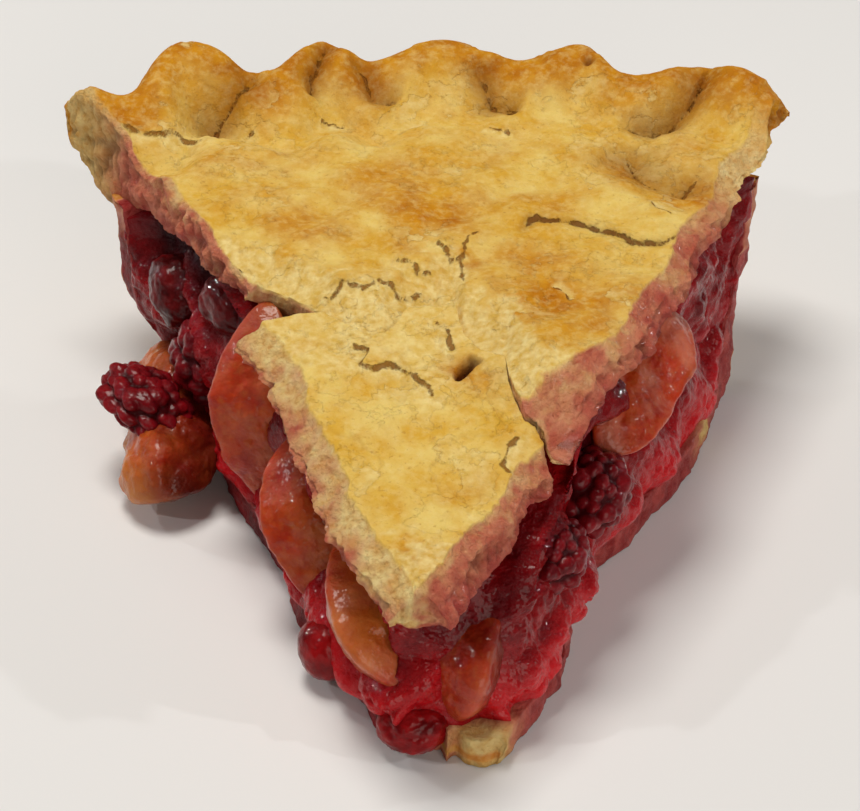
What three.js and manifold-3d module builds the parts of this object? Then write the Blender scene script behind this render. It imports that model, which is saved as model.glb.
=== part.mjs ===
// One cut slice of a double-crust fruit pie, millimetres, +Z up, +Y towards the crimped rim.
// Places are given from the centre of the whole pie and moved to the part's frame at the end.
import * as THREE from "three";
import { mergeVertices } from "three/addons/utils/BufferGeometryUtils.js";
import Module from "manifold-3d";

const wasm = await Module();
wasm.setup();

// Whole pie
const RIM_RADIUS = 115; // a nine inch pie
const RIM_TOP = 42;
const LID_TOP = 38;
const PASTRY = 5;
const BASE = 4.6;
const CLEAR = 0.3; // gap between neighbouring pieces
const FRAME_Y = 60; // the frame's origin lies this far from the pie's centre

// Both cuts meet at this point, a little in front of the blunt tip
const APEX = { x: -2.6, y: -10.4 };
const CUT_LEFT = -23.1;
const CUT_RIGHT = 24.8;

// Outline of the base at its two cuts, which have slumped: distance from the apex, angle
const FOOT_LEFT = [
  [17, -20.5], [31, -22], [38, -23.6], [48, -22.9], [57, -20.8], [77, -21.4], [92, -19.2],
];
const FOOT_RIGHT = [
  [16, 23.9], [26, 26.6], [34, 27], [41, 24.6], [48, 22.8], [56, 22], [60, 22.8], [66, 24.8],
  [85, 26.4], [105, 25.3],
];

// Crimped edge: angle about the pie's centre and radius, valley and peak in turn
const CRIMPS = [
  [-28, 117.4], [-24, 114.2], [-18.4, 122], [-13, 114.4], [-8.7, 119.6], [-5.3, 115.2],
  [-0.2, 119], [5.5, 116], [10.6, 119.8], [13.7, 115], [20, 119.6], [24.6, 118.6], [29, 115.4],
];

// Front edge of the back crust: angle about the apex, and distance from it
const BREAK = [
  [-22, 80], [-19.6, 74.8], [-16.3, 70.5], [-14.5, 66.4], [-12.6, 63], [-10.9, 59.8],
  [-7.4, 58.8], [-3.7, 63.7], [1.6, 63.9], [2.7, 58], [4.8, 55], [8.3, 53.8], [9.3, 49.6],
  [13.1, 43], [19.1, 38.4], [22, 36.2],
];

const rad = (deg) => (deg * Math.PI) / 180;
const mix = (a, b, t) => a + (b - a) * t;
const clamp01 = (v) => Math.min(1, Math.max(0, v));
const ease = (v) => clamp01(v) ** 2 * (3 - 2 * clamp01(v));

// Value of a table of [at, value] pairs, eased or straight between them
function table(pairs, at, curve = (t) => t) {
  if (at <= pairs[0][0]) return pairs[0][1];
  for (let i = 1; i < pairs.length; i++) {
    const [a, va] = pairs[i - 1];
    const [b, vb] = pairs[i];
    if (at <= b) return mix(va, vb, curve((at - a) / (b - a)));
  }
  return pairs[pairs.length - 1][1];
}

// Smooth unevenness between -1 and 1, about one wave in 8 to 20 mm
function wave(x, y, z = 0, seed = 0) {
  const a = Math.sin(0.37 * x + 0.21 * y + 0.3 * z + seed);
  const b = Math.sin(-0.29 * x + 0.45 * y + 0.24 * z + 2.1 * seed + 1);
  const c = Math.sin(0.63 * x - 0.53 * y + 0.41 * z + 3.3 * seed + 2);
  return (a + b + 0.7 * c) / 2.7;
}

const polar = (x, y) => ({ r: Math.hypot(x, y), phi: (Math.atan2(x, y) * 180) / Math.PI });
const fromApex = (psi, rho) => [
  APEX.x + Math.sin(rad(psi)) * rho,
  APEX.y + Math.cos(rad(psi)) * rho,
];
const toApex = (x, y, apex = APEX) => ({
  at: (Math.atan2(x - apex.x, y - apex.y) * 180) / Math.PI,
  rho: Math.hypot(x - apex.x, y - apex.y),
});

// Distance from the apex at which a ray meets the radius that ring(phi) gives
function reach(psi, ring) {
  let rho = 120;
  for (let i = 0; i < 12; i++) {
    const p = polar(...fromApex(psi, rho));
    rho += ring(p.phi) - p.r;
  }
  return rho;
}

const rimEdge = (phi) => table(CRIMPS, phi, ease);

// How far the lid has sagged towards the break: 1 at its torn edge, 0 from 10 mm behind it
function sunk(x, y) {
  const { at, rho } = toApex(x, y);
  return ease(1 - (rho - table(BREAK, at)) / 10);
}

// Height of the lid's top: a low dome, a raised wavy rim with one fold to each crimp,
// a sunken hinge just inside the rim and the groove of the crack across the right side
function lidTop(x, y) {
  const { r, phi } = polar(x, y);
  const edge = rimEdge(phi);
  const inside = edge - r;
  const crest = RIM_TOP + 0.25 * (edge - RIM_RADIUS);
  const fold = ease((edge - 112.5) / 6);
  const rise = ease(1 - (inside - 5) / 11);
  const drop = 3.8 * clamp01(1 - inside / 4) ** 2;
  let z = LID_TOP + 0.5 * wave(x, y, 0, 1) + (crest - LID_TOP) * rise * mix(0.85, 1, fold);
  z -= 1.8 * (1 - fold) * Math.exp(-(((inside - 9) / 4) ** 2));
  z -= 2.2 * Math.exp(-(((inside - 17) / 4) ** 2)) * clamp01(-x / 12);
  z -= drop;
  z -= 1.9 * crackDepth(x, y) + 1.8 * sunk(x, y);
  z += 0.8 * ease((55 - r) / 12) * clamp01((x + 2) / 8);
  return z;
}

// The crack that parts the right plate from the rest, as a groove: 1 along its line
function crackDepth(x, y) {
  const line = table([[2, 69], [8.5, 71.6], [14, 73.4], [25, 68.6], [33, 68.6]], x);
  const along = ease((x - 5) / 4);
  return along * Math.exp(-(((y - line) / 1.3) ** 2));
}

// The rim hangs lowest at the left cut, where lid and wall are baked into one thick edge,
// and doughy crumb hangs from the lid's left edge in front of the wall
const rimUnder = (phi) => mix(29.6, 34.2, ease((phi + 26) / 40));
function lidUnder(x, y) {
  const { r, phi } = polar(x, y);
  const { at, rho } = toApex(x, y);
  const flat = LID_TOP - PASTRY + 0.3 * wave(x, y, 0, 4);
  const hang = Math.exp(-(((rad(at - CUT_LEFT) * rho) / 5) ** 2)) * ease((rho - 80) / 8);
  return mix(flat, rimUnder(phi), ease((r - 84) / 14)) - 1.8 * sunk(x, y)
    - 3 * hang * ease((97 - r) / 6);
}

// Height of the broken front plate: it has sunk towards the tip and tilts down to it. Its
// left cut has crumbled to a slope. The broken plate has its own apex below its point, so
// that its sides run along rays.
const FLAP_APEX = { x: -8.4, y: -1 };
const flapLeft = (t) => mix(-31, -22, ease(t * 1.3)) + 0.8 * Math.sin(17 * t);
function flapTop(x, y) {
  const { at, rho } = toApex(x, y, FLAP_APEX);
  const fromEdge = rad(at - flapLeft(rho / 56)) * rho;
  const dimple = 2.2 * Math.exp(-(((x - 0.6) / 1.6) ** 2) - ((y - 40.7) / 3.2) ** 2);
  return 29.1 + 0.149 * (y - 3) + 0.35 * wave(x, y, 0, 7) - dimple
    + 1.2 * ease((x + 2) / 8) * ease((y - 22) / 15) - 2 * clamp01(1 - fromEdge / 3.4);
}

// Its underside, thick with dough that has stuck to it towards the tip
const flapUnder = (x, y) => {
  const thick = PASTRY + 3.8 * ease((44 - y) / 30) * mix(0.35, 1, ease((x + 15) / 7));
  return 29.1 + 0.149 * (y - 3) - thick + 0.4 * wave(x, y, 0, 8);
};

// A closed solid from a grid of sections: every section is a ring of [x, y, z] points. The
// two ends are closed by close(ring), which lists triangles over the ring and its centre.
function loft(sections, close) {
  const n = sections[0].length;
  const points = sections.flat(2);
  const faces = [];
  for (let k = 0; k + 1 < sections.length; k++) {
    for (let i = 0; i < n; i++) {
      const a = k * n + i;
      const b = k * n + ((i + 1) % n);
      faces.push(a, b, a + n, b, b + n, a + n);
    }
  }
  for (const start of [0, (sections.length - 1) * n]) {
    const ring = sections[start / n];
    const centre = points.length / 3;
    const at = (i) => (i < n ? start + i : centre);
    for (const [a, b, c] of close(ring)) {
      if (start) faces.push(at(a), at(b), at(c));
      else faces.push(at(a), at(c), at(b));
    }
    for (const j of [0, 1, 2]) points.push(ring.reduce((sum, p) => sum + p[j], 0) / n);
  }
  const geometry = new THREE.BufferGeometry();
  geometry.setAttribute("position", new THREE.Float32BufferAttribute(points, 3));
  geometry.setIndex(faces);
  return geometry;
}

// Ends: a fan round the centre, a strip between upper and lower edge, or a bent profile
const fan = (ring) => ring.map((p, i) => [i, (i + 1) % ring.length, ring.length]);
const strip = (ring) => {
  const faces = [];
  for (let i = 0; i < ring.length / 2 - 1; i++) {
    const back = ring.length - 1 - i;
    faces.push([i, i + 1, back], [i + 1, back - 1, back]);
  }
  return faces;
};
function bent(ring) {
  const flat = ring.map(([x, y, z]) => new THREE.Vector2(Math.hypot(x - APEX.x, y - APEX.y), z));
  const faces = THREE.ShapeUtils.triangulateShape(flat, []);
  const turn = ([a, b, c]) => flat[b].clone().sub(flat[a]).cross(flat[c].clone().sub(flat[a]));
  const same = turn(faces[0]) > 0 === THREE.ShapeUtils.area(flat) > 0;
  return same ? faces : faces.map(([a, b, c]) => [a, c, b]);
}

// A closed body from a geometry, with its faces turned outwards
function toManifold(geometry) {
  geometry.deleteAttribute("normal");
  geometry.deleteAttribute("uv");
  const welded = mergeVertices(geometry, 1e-4);
  const place = welded.attributes.position;
  const faces = Uint32Array.from(welded.index.array);
  const corner = (i) => new THREE.Vector3().fromBufferAttribute(place, faces[i]);
  let volume = 0;
  for (let i = 0; i < faces.length; i += 3) {
    volume += corner(i).dot(corner(i + 1).cross(corner(i + 2)));
  }
  for (let i = 0; volume < 0 && i < faces.length; i += 3) {
    [faces[i + 1], faces[i + 2]] = [faces[i + 2], faces[i + 1]];
  }
  return new wasm.Manifold(new wasm.Mesh({
    numProp: 3, vertProperties: Float32Array.from(place.array), triVerts: faces,
  }));
}

// A sheet of pastry over a wedge of the pie. psi goes from one cut to the other and each
// section runs outwards along the top and back along the underside. grow makes a twin
// that is larger all round, which is cut from the neighbours to leave a gap.
// Its underside spreads by flare at the right cut, most at the front.
function sheet(spec, grow = 0) {
  const { from, to, inner, outer, top, under, across, along, flare, apex } = spec;
  const sections = [];
  for (let k = 0; k <= across; k++) {
    const s = k / across;
    const upper = [];
    const lower = [];
    for (let i = 0; i <= along; i++) {
      const t = i / along;
      const guess = mix(inner(mix(from(t), to(t), s)), outer(mix(from(t), to(t), s)), t);
      const put = (spread, height) => {
        const degrees = (mm) => ((mm / Math.max(guess, 6)) * 180) / Math.PI;
        const psi = mix(from(t) - degrees(grow), to(t) + degrees(grow + spread), s);
        const rho = mix(inner(psi) - grow, outer(psi) + grow, t);
        const x = apex.x + Math.sin(rad(psi)) * rho;
        const y = apex.y + Math.cos(rad(psi)) * rho;
        return [x, y, height(x, y)];
      };
      upper.push(put(0, (x, y) => top(x, y) + grow));
      lower.unshift(put(flare * (1 - t), (x, y) => under(x, y) - grow));
    }
    sections.push([...upper, ...lower]);
  }
  return toManifold(loft(sections, strip));
}

const lidSpec = {
  apex: APEX,
  flare: 2,
  from: (t) => table([[0, -19.8], [0.1, -21.2], [0.6, -21.8], [0.8, -23], [1, -24.1]], t),
  to: (t) => table([[0, 19.6], [0.15, 22.2], [0.3, 24.5], [0.9, 24.5], [1, 25]], t)
    + 0.35 * Math.sin(31 * t),
  inner: (psi) => table(BREAK, psi),
  outer: (psi) => reach(psi, rimEdge),
  top: lidTop,
  under: lidUnder,
  across: 32,
  along: 15,
};

const flapBack = (psi) => {
  let rho = 60;
  for (let i = 0; i < 10; i++) {
    const x = FLAP_APEX.x + Math.sin(rad(psi)) * rho;
    const y = FLAP_APEX.y + Math.cos(rad(psi)) * rho;
    const seen = toApex(x, y);
    const limit = Math.min(table(BREAK, seen.at) - 0.7, 64.6);
    rho = Math.max(14, rho + 0.7 * (limit - seen.rho));
  }
  return rho;
};
const flapSpec = {
  apex: FLAP_APEX,
  flare: 3,
  from: flapLeft,
  to: (t) => mix(38, 34.5, t) + 1.3 * Math.sin(14 * t),
  inner: (psi) => 3.6 + 1.4 * clamp01(psi / 30),
  outer: flapBack,
  top: flapTop,
  under: flapUnder,
  across: 20,
  along: 13,
};

// Bottom crust: the base and the sloped wall up to the rim in one, as a profile that is
// swept from cut to cut. outside and inside give the wall's radius at a height.
const leftAt = (rho, z) => mix(table(FOOT_LEFT, rho), CUT_LEFT, ease((z - 2) / 14));
const rightAt = (rho, z) => mix(table(FOOT_RIGHT, rho), CUT_RIGHT, ease((z - 3) / 9));
const wallTop = (psi) => mix(29, 32.4, ease((psi + 23) / 30)) - 0.4;
const wallOutside = (z) => table([[0, 96.6], [8, 99.4], [22, 104.2], [33, 107]], z);
const wallInside = (z) => wallOutside(z) - table([[4, 7.5], [12, 5.2], [33, 4.6]], z);
const tipDistance = (psi) => 15.4 + 1.2 * wave(psi * 0.9, 3) + (psi < -3 ? 3.2 : 0);

function baseProfile(psi, grow) {
  const radius = (r) => reach(psi, () => r);
  const top = wallTop(psi);
  const profile = [tipDistance(psi) - grow, 25, 33, 41, 49, 60, 75].map((rho) => [rho, -grow]);
  for (const z of [0, 3, 8, 15, 21, 26, top]) {
    const dent = 0.5 * wave(psi * 1.3, z, 0, 5);
    profile.push([radius(wallOutside(z) + dent) + grow, z === 0 ? -grow : z]);
  }
  profile[profile.length - 1][1] += grow;
  profile.push([radius(wallInside(top)) - grow, top + grow]);
  for (const z of [24, 17, 11, 6.5]) profile.push([radius(wallInside(z)) - grow, z]);
  for (const rho of [92, 75, 60, 49, 41, 33, 25]) {
    profile.push([rho, BASE + grow + 0.35 * wave(rho, psi, 0, 2)]);
  }
  profile.push([tipDistance(psi) - grow, BASE + grow - 0.4]);
  return profile;
}

function bottomCrust(grow = 0, shift = [0, 0]) {
  const sections = [];
  const across = 22;
  for (let k = 0; k <= across; k++) {
    const side = k / across < 0.5 ? -1 : 1;
    const ring = baseProfile(mix(CUT_LEFT, CUT_RIGHT, k / across), grow).map(([rho, z]) => {
      const psi = mix(leftAt(rho, z), rightAt(rho, z), k / across);
      const near = Math.abs(k / across - 0.5) * 2;
      const ragged = near ** 6 * (0.5 * wave(rho, z, 0, 6 + side) + (side < 0 ? -0.25 : -0.15));
      const turn = (((side * (ragged + grow * near)) / rho) * 180) / Math.PI;
      const [x, y] = fromApex(psi + turn, rho);
      return [x, y, z];
    });
    sections.push(ring);
  }
  return toManifold(loft(sections, bent).translate(shift[0], shift[1], 0));
}

// Filling: sections step from the tip to the wall. Each one is a ring that climbs the left
// face, crosses under the lid, comes down the right face and returns over the base.
// bulge(u, z) is how far a face stands out of the cut, or with a minus sign is hollow.
const bulgeLeft = (u, z) =>
  1.6 * wave(u, z * 1.4, 0, 3) - 2.4 - 3.2 * ease((z - 20) / 8) * ease((u - 52) / 10)
  + 3.2 * Math.exp(-(((z - 6) / 4) ** 2)) + 1.6 * Math.exp(-(((u - 30) / 9) ** 2));
const bulgeRight = (u, z) =>
  1.5 * wave(u, z * 1.3, 0, 9) - 1.6 + 2.2 * Math.exp(-(((z - 9) / 5) ** 2))
  - 4.2 * Math.exp(-(((u - 49) / 6) ** 2) - ((z - 23) / 4.5) ** 2)
  - 2.2 * ease((40 - u) / 20) * ease((z - 12) / 8) - 2.5 * ease((z - 27) / 4);

// Top of the filling: close under the lid, and under the sunken plate in front
function fillTop(x, y) {
  const { at, rho } = toApex(x, y);
  const edge = rho - table(BREAK, at);
  const low = Math.min(lidUnder(x, y), flapUnder(x, y)) - 0.5;
  const high = lidUnder(x, y) - 0.6;
  return Math.min(high, mix(low, high, ease((edge - 1) / 5)));
}

function fillingBody() {
  const sections = [];
  const along = 24;
  const climb = 7;
  const over = 6;
  const low = BASE + CLEAR + 0.4;
  for (let k = 0; k <= along; k++) {
    const t = k / along;
    const place = (s, side, z, bulge) => {
      const about = mix(CUT_LEFT, CUT_RIGHT, s);
      const wall = reach(about, () => wallInside(Math.max(z, 5)) - 1.1);
      const front = 16.5 + (about > 8 ? 2.5 : 0) + 0.24 * Math.max(0, z - 5);
      const u = mix(front, wall, t);
      const psi = mix(leftAt(u, z), rightAt(u, z), s);
      const [x, y] = fromApex(psi, u);
      const out = bulge ? bulge(u, z) * ease(t * 12 + 0.3) * ease((1 - t) * 14) : 0;
      return [x + side * Math.cos(rad(psi)) * out, y - side * Math.sin(rad(psi)) * out, z];
    };
    const face = (s, side, i, bulge) => {
      const foot = place(s, side, low + 14, bulge);
      const high = fillTop(foot[0], foot[1]);
      return place(s, side, mix(low, high, i / climb), bulge);
    };
    const ring = [];
    for (let i = 0; i <= climb; i++) ring.push(face(0, -1, i, bulgeLeft));
    for (let i = 1; i < over; i++) ring.push(face(i / over, 0, climb, null));
    for (let i = climb; i >= 0; i--) ring.push(face(1, 1, i, bulgeRight));
    for (let i = over - 1; i > 0; i--) ring.push(place(i / over, 0, low, null));
    sections.push(ring);
  }
  return toManifold(loft(sections, fan));
}

// A slice of peach: a spine bent from a to b, with sections that are round on the skin
// side and come to a ridge on the side that faces out
function peachSlice({ a, b, bow, belly = 0, out, width, depth, ridge = 0.25 }, grow = 0) {
  const A = new THREE.Vector3(...a);
  const B = new THREE.Vector3(...b);
  const axis = B.clone().sub(A).normalize();
  const facing = new THREE.Vector3(...out);
  facing.addScaledVector(axis, -facing.dot(axis)).normalize();
  const side = axis.clone().cross(facing);
  const sections = [];
  const steps = 7;
  const round = 12;
  const length = A.distanceTo(B);
  for (let k = 0; k <= steps; k++) {
    const t = mix(0.03, 0.97, k / steps);
    const swell = Math.max(0.22, (1 - (2 * t - 1) ** 2) ** 0.55);
    const centre = A.clone()
      .addScaledVector(axis, mix(-grow, length + grow, t))
      .addScaledVector(side, bow * Math.sin(Math.PI * t))
      .addScaledVector(facing, belly * Math.sin(Math.PI * t));
    const ring = [];
    for (let i = 0; i < round; i++) {
      const angle = (i / round) * 2 * Math.PI;
      const peak = 1 + ridge * Math.max(0, Math.cos(angle)) ** 3;
      const p = centre.clone()
        .addScaledVector(facing, (depth * swell * peak + grow) * Math.cos(angle))
        .addScaledVector(side, (width * swell + grow) * Math.sin(angle));
      ring.push([p.x, p.y, p.z]);
    }
    sections.push(ring);
  }
  return toManifold(loft(sections, fan));
}

// A round fruit: a ball stretched to its three half sizes, and where beads is given,
// covered with rows of beads like a raspberry
function berry({ at, size, turn = 0, tilt = 0, beads = 0 }, grow = 0) {
  if (grow) beads = 0;
  const geometry = new THREE.SphereGeometry(1, beads ? 18 : 12, beads ? 11 : 7);
  const pos = geometry.attributes.position;
  const count = beads * beads;
  const seeds = [];
  for (let i = 0; i < count; i++) {
    const z = 1 - (2 * i + 1) / count;
    const angle = i * 2.39996;
    const flat = Math.sqrt(1 - z * z);
    seeds.push(new THREE.Vector3(flat * Math.cos(angle), flat * Math.sin(angle), z));
  }
  const p = new THREE.Vector3();
  for (let i = 0; i < pos.count; i++) {
    p.fromBufferAttribute(pos, i).normalize();
    const near = seeds.reduce((best, s) => Math.max(best, s.dot(p)), -1);
    p.multiplyScalar(beads ? Math.min(1, 0.88 + 1.7 * (near - 0.93)) : 1);
    pos.setXYZ(i, p.x * (size[0] + grow), p.y * (size[1] + grow), p.z * (size[2] + grow));
  }
  geometry.rotateX(rad(tilt)).rotateZ(rad(turn)).translate(...at);
  return toManifold(geometry);
}

// Fruit in the filling and beside it, each as a maker and the numbers it needs
const OUT_LEFT = [-0.92, -0.39, 0.1];
const OUT_RIGHT = [0.91, -0.41, 0.05];
const fruits = {
  peach_tall: [peachSlice, {
    a: [-23.2, 50.5, 5.8], b: [-25.4, 59, 33.6], bow: 1, belly: 3.4, out: OUT_LEFT, width: 6.6,
    depth: 5,
  }],
  peach_left_front: [peachSlice, {
    a: [-16.6, 30, 5.4], b: [-21.4, 43.5, 23], bow: 0.6, belly: 1.6, out: OUT_LEFT, width: 5.8,
    depth: 5,
  }],
  peach_tip: [peachSlice, {
    a: [-5, 9.6, 6.2], b: [-15, 28.8, 17.4], bow: 0.4, belly: 1.2, out: [-0.75, -0.4, 0.5],
    width: 5.6, depth: 4.6,
  }],
  peach_tip_right: [peachSlice, {
    a: [-1.2, 11.6, 4.6], b: [4, 17, 18.5], bow: -0.8, belly: 0.6, out: [0.2, -0.95, 0.2],
    width: 6.6, depth: 5,
  }],
  peach_right: [peachSlice, {
    a: [18.4, 40.6, 22], b: [29.8, 61.5, 30.6], bow: 1, belly: 1, out: OUT_RIGHT, width: 6,
    depth: 4.8,
  }],
  cherry_left: [berry, { at: [-38.4, 80.4, 21.6], size: [4.6, 5.4, 5.2], turn: 24 }],
  cherry_dark: [berry, { at: [-28.6, 69.6, 26], size: [5, 6, 5], turn: 24 }],
  cherry_tip: [berry, { at: [-7.6, 6.6, 4.8], size: [4.6, 4.6, 4.5], turn: 10 }],
  raspberry_left: [berry, {
    at: [-32.4, 71.4, 15.6], size: [6.2, 6.8, 6], turn: 20, tilt: 10, beads: 7,
  }],
  raspberry_right: [berry, {
    at: [16.4, 35.6, 19.5], size: [5.6, 6.4, 5.2], turn: -24, tilt: 10, beads: 7,
  }],
  raspberry_right_front: [berry, {
    at: [10.6, 24.4, 18], size: [5, 6, 5], turn: -24, tilt: -10, beads: 7,
  }],
};

// Pieces that slid out at the left and lie beside the slice
const spilled = {
  raspberry_squashed: [berry, {
    at: [-42, 66.6, 11.8], size: [5, 6.4, 3.8], turn: 42, tilt: 16, beads: 7,
  }],
  peach_spilled: [peachSlice, {
    a: [-38.6, 84, 8], b: [-39.8, 52.4, 5.6], bow: -0.8, out: [-0.2, 0, 1], width: 9.2,
    depth: 6.4, ridge: 0,
  }],
};

const floor = toManifold(new THREE.BoxGeometry(400, 400, 60).translate(0, 0, 0.02 - 30));
const lidBig = sheet(lidSpec, CLEAR);
const solids = {
  bottom_crust: bottomCrust(),
  top_crust: sheet(lidSpec),
  crust_flap: sheet(flapSpec).subtract(lidBig),
};
// The base's twin is also shifted to three sides, because its thin ragged foot needs more room
const shifts = [[-CLEAR, 0], [CLEAR, 0], [0, -CLEAR]];
const base = shifts.reduce((sum, shift) => sum.add(bottomCrust(0, shift)), bottomCrust(CLEAR));
const grown = [base, lidBig, sheet(flapSpec, CLEAR), floor];

// Later pieces give way to earlier ones, each with the gap
function fit(raw, big) {
  const body = grown.reduce((left, cutter) => left.subtract(cutter), raw);
  grown.push(big);
  const parts = body.decompose();
  return parts.reduce((best, part) => (part.volume() > best.volume() ? part : best));
}

for (const [name, [make, spec]] of Object.entries({ ...fruits, ...spilled })) {
  solids[name] = fit(make(spec), make(spec, CLEAR));
}
// A fat drop of juice stands proud of the left face
const drop = berry({ at: [-17.4, 21.6, 4.6], size: [4.2, 4.6, 4.2], turn: 20 });
const filling = fillingBody().add(drop);
solids.filling = fit(filling, filling);

const COLOURS = {
  top_crust: 0xdcb45c, crust_flap: 0xe2c069, bottom_crust: 0xc98a62, filling: 0x5e0713,
  peach: 0xb4551f, cherry: 0x8c0f14, raspberry: 0x4e0a16,
};

const root = new THREE.Group();
root.name = "root";
for (const [name, body] of Object.entries(solids)) {
  const { vertProperties, triVerts, numProp } = body.getMesh();
  const points = [];
  for (let i = 0; i < vertProperties.length; i += numProp) {
    points.push(vertProperties[i], vertProperties[i + 1] - FRAME_Y, vertProperties[i + 2]);
  }
  const geometry = new THREE.BufferGeometry();
  geometry.setAttribute("position", new THREE.Float32BufferAttribute(points, 3));
  geometry.setIndex(Array.from(triVerts));
  const color = COLOURS[name] ?? COLOURS[name.split("_")[0]];
  const mesh = new THREE.Mesh(geometry, new THREE.MeshStandardMaterial({ color, roughness: 0.5 }));
  mesh.name = name;
  root.add(mesh);
}

export default root;
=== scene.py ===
# %% [markdown]
# # A slice of covered fruit pie
#
# The slice is a wedge of a nine inch pie: a base of short pastry with a sloped wall, a filling
# of peach slices and berries in set juice, and a pastry lid whose edge is crimped to the wall.
# The lid has broken when the slice was lifted: its front part has sunk towards the tip.
#
# All shapes are worked out in millimetres from the centre of the whole pie, because that is how
# a pie is laid out: rings and rays. One function at the end of each shape moves them into
# metres in the part's own frame.

import math

import bpy
import numpy as np
from mathutils import Matrix, Vector


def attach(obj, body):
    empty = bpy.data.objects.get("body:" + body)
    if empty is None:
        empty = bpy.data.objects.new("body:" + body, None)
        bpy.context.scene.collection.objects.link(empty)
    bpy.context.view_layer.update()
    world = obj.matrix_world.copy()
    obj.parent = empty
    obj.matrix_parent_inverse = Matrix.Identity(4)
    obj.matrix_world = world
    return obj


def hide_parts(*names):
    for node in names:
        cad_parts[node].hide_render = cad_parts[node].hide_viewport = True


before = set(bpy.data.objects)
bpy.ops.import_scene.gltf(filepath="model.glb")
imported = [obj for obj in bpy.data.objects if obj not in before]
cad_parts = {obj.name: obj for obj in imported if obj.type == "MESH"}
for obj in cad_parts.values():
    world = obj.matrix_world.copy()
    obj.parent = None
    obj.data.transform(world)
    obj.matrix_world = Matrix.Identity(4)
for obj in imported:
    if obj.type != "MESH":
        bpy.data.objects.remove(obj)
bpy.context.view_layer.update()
FINE = 1.0
print("nodes in the frame:", len(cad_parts))

# %% [markdown]
# ## Sizes of the real thing
#
# A nine inch pie measures 230 mm over its rim. The lid lies 38 mm above the table, the crimped
# rim reaches 42 mm, and rolled pastry is about 5 mm thick once it is baked.

# %% Sizes in millimetres and degrees
RIM_RADIUS = 115.0
RIM_TOP = 42.0
LID_TOP = 38.0
PASTRY = 5.0
BASE = 4.6  # thickness of the bottom crust
FRAME_Y = 60.0  # the part's origin lies this far from the pie's centre
APEX = (-2.6, -10.4)  # where the two cuts would meet
FLAP_APEX = (-8.4, -1.0)  # where the sides of the lid's front piece would meet
CUT_LEFT, CUT_RIGHT = -23.1, 24.8  # angles of the two cuts about the apex

# Crimped edge: angle about the pie's centre, radius
CRIMPS = [
    (-28, 117.4), (-24, 114.2), (-18.4, 122), (-13, 114.4), (-8.7, 119.6), (-5.3, 115.2),
    (-0.2, 119), (5.5, 116), (10.6, 119.8), (13.7, 115), (20, 119.6), (24.6, 118.6), (29, 115.4),
]  # fmt: skip

# Where the back part of the lid broke off: angle about the apex, distance from it
BREAK = [
    (-22, 80), (-19.6, 74.8), (-16.3, 70.5), (-14.5, 66.4), (-12.6, 63), (-10.9, 59.8),
    (-7.4, 58.8), (-3.7, 63.7), (1.6, 63.9), (2.7, 58), (4.8, 55), (8.3, 53.8), (9.3, 49.6),
    (13.1, 43), (19.1, 38.4), (22, 36.2),
]  # fmt: skip

# How the foot of each cut has spread: distance from the apex, angle about it
FOOT_LEFT = [
    (17, -20.5), (31, -22), (38, -23.6), (48, -22.9), (57, -20.8), (77, -21.4), (92, -19.2),
]  # fmt: skip
FOOT_RIGHT = [
    (16, 23.9), (26, 26.6), (34, 27), (41, 24.6), (48, 22.8), (56, 22), (60, 22.8), (66, 24.8),
    (85, 26.4), (105, 25.3),
]  # fmt: skip

# %% [markdown]
# ## Small tools for numbers
#
# Everything below works on whole arrays at once. `noise` gives a smooth random field, `fractal`
# adds finer and finer copies of it, and `cells` gives the distance to the nearest of many
# scattered seeds, which is what makes bubbles, drupelets and crumbs.

# %% Mixing, tables and directions
def mix(a, b, t):
    """Straight blend from a at t = 0 to b at t = 1."""
    return a + (b - a) * t


def ease(v):
    """Smooth step: 3 v squared minus 2 v cubed, held between 0 and 1."""
    v = np.clip(v, 0.0, 1.0)
    return v * v * (3.0 - 2.0 * v)


def hill(distance, width):
    """Bell curve: 1 at distance 0, about a third at one width."""
    return np.exp(-((distance / width) ** 2))


def xyz(x, y, z=0.0):
    """Points from coordinates of any shapes that fit together."""
    return np.stack(np.broadcast_arrays(x, y, z), -1).astype(float)


def table(pairs, at, eased=False):
    """Value read from a list of (at, value) pairs, straight or eased between them."""
    xs, ys = np.array(pairs, float).T
    if not eased:
        return np.interp(at, xs, ys)
    i = np.clip(np.searchsorted(xs, at) - 1, 0, len(xs) - 2)
    return mix(ys[i], ys[i + 1], ease((at - xs[i]) / (xs[i + 1] - xs[i])))


def from_apex(psi, rho, apex=APEX):
    """x and y of the point at angle psi, degrees from +Y, and distance rho from an apex."""
    a = np.radians(psi)
    return apex[0] + np.sin(a) * rho, apex[1] + np.cos(a) * rho


def shifted(x, y, psi, across, outwards=0.0):
    """Points moved across their ray at angle psi, to its right, and outwards along it."""
    a = np.radians(psi)
    return (x + across * np.cos(a) + outwards * np.sin(a),
            y - across * np.sin(a) + outwards * np.cos(a))  # fmt: skip


def to_apex(x, y, apex=APEX):
    """Angle in degrees and distance of points from an apex."""
    dx, dy = x - apex[0], y - apex[1]
    return np.degrees(np.arctan2(dx, dy)), np.hypot(dx, dy)


def reach(psi, radius_at):
    """Distance from the apex along psi to the circle-like edge radius_at(phi)."""
    rho = np.full(np.shape(psi), 120.0)
    for _ in range(12):
        x, y = from_apex(psi, rho)
        phi = np.degrees(np.arctan2(x, y))
        rho = rho + radius_at(phi) - np.hypot(x, y)
    return rho


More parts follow.
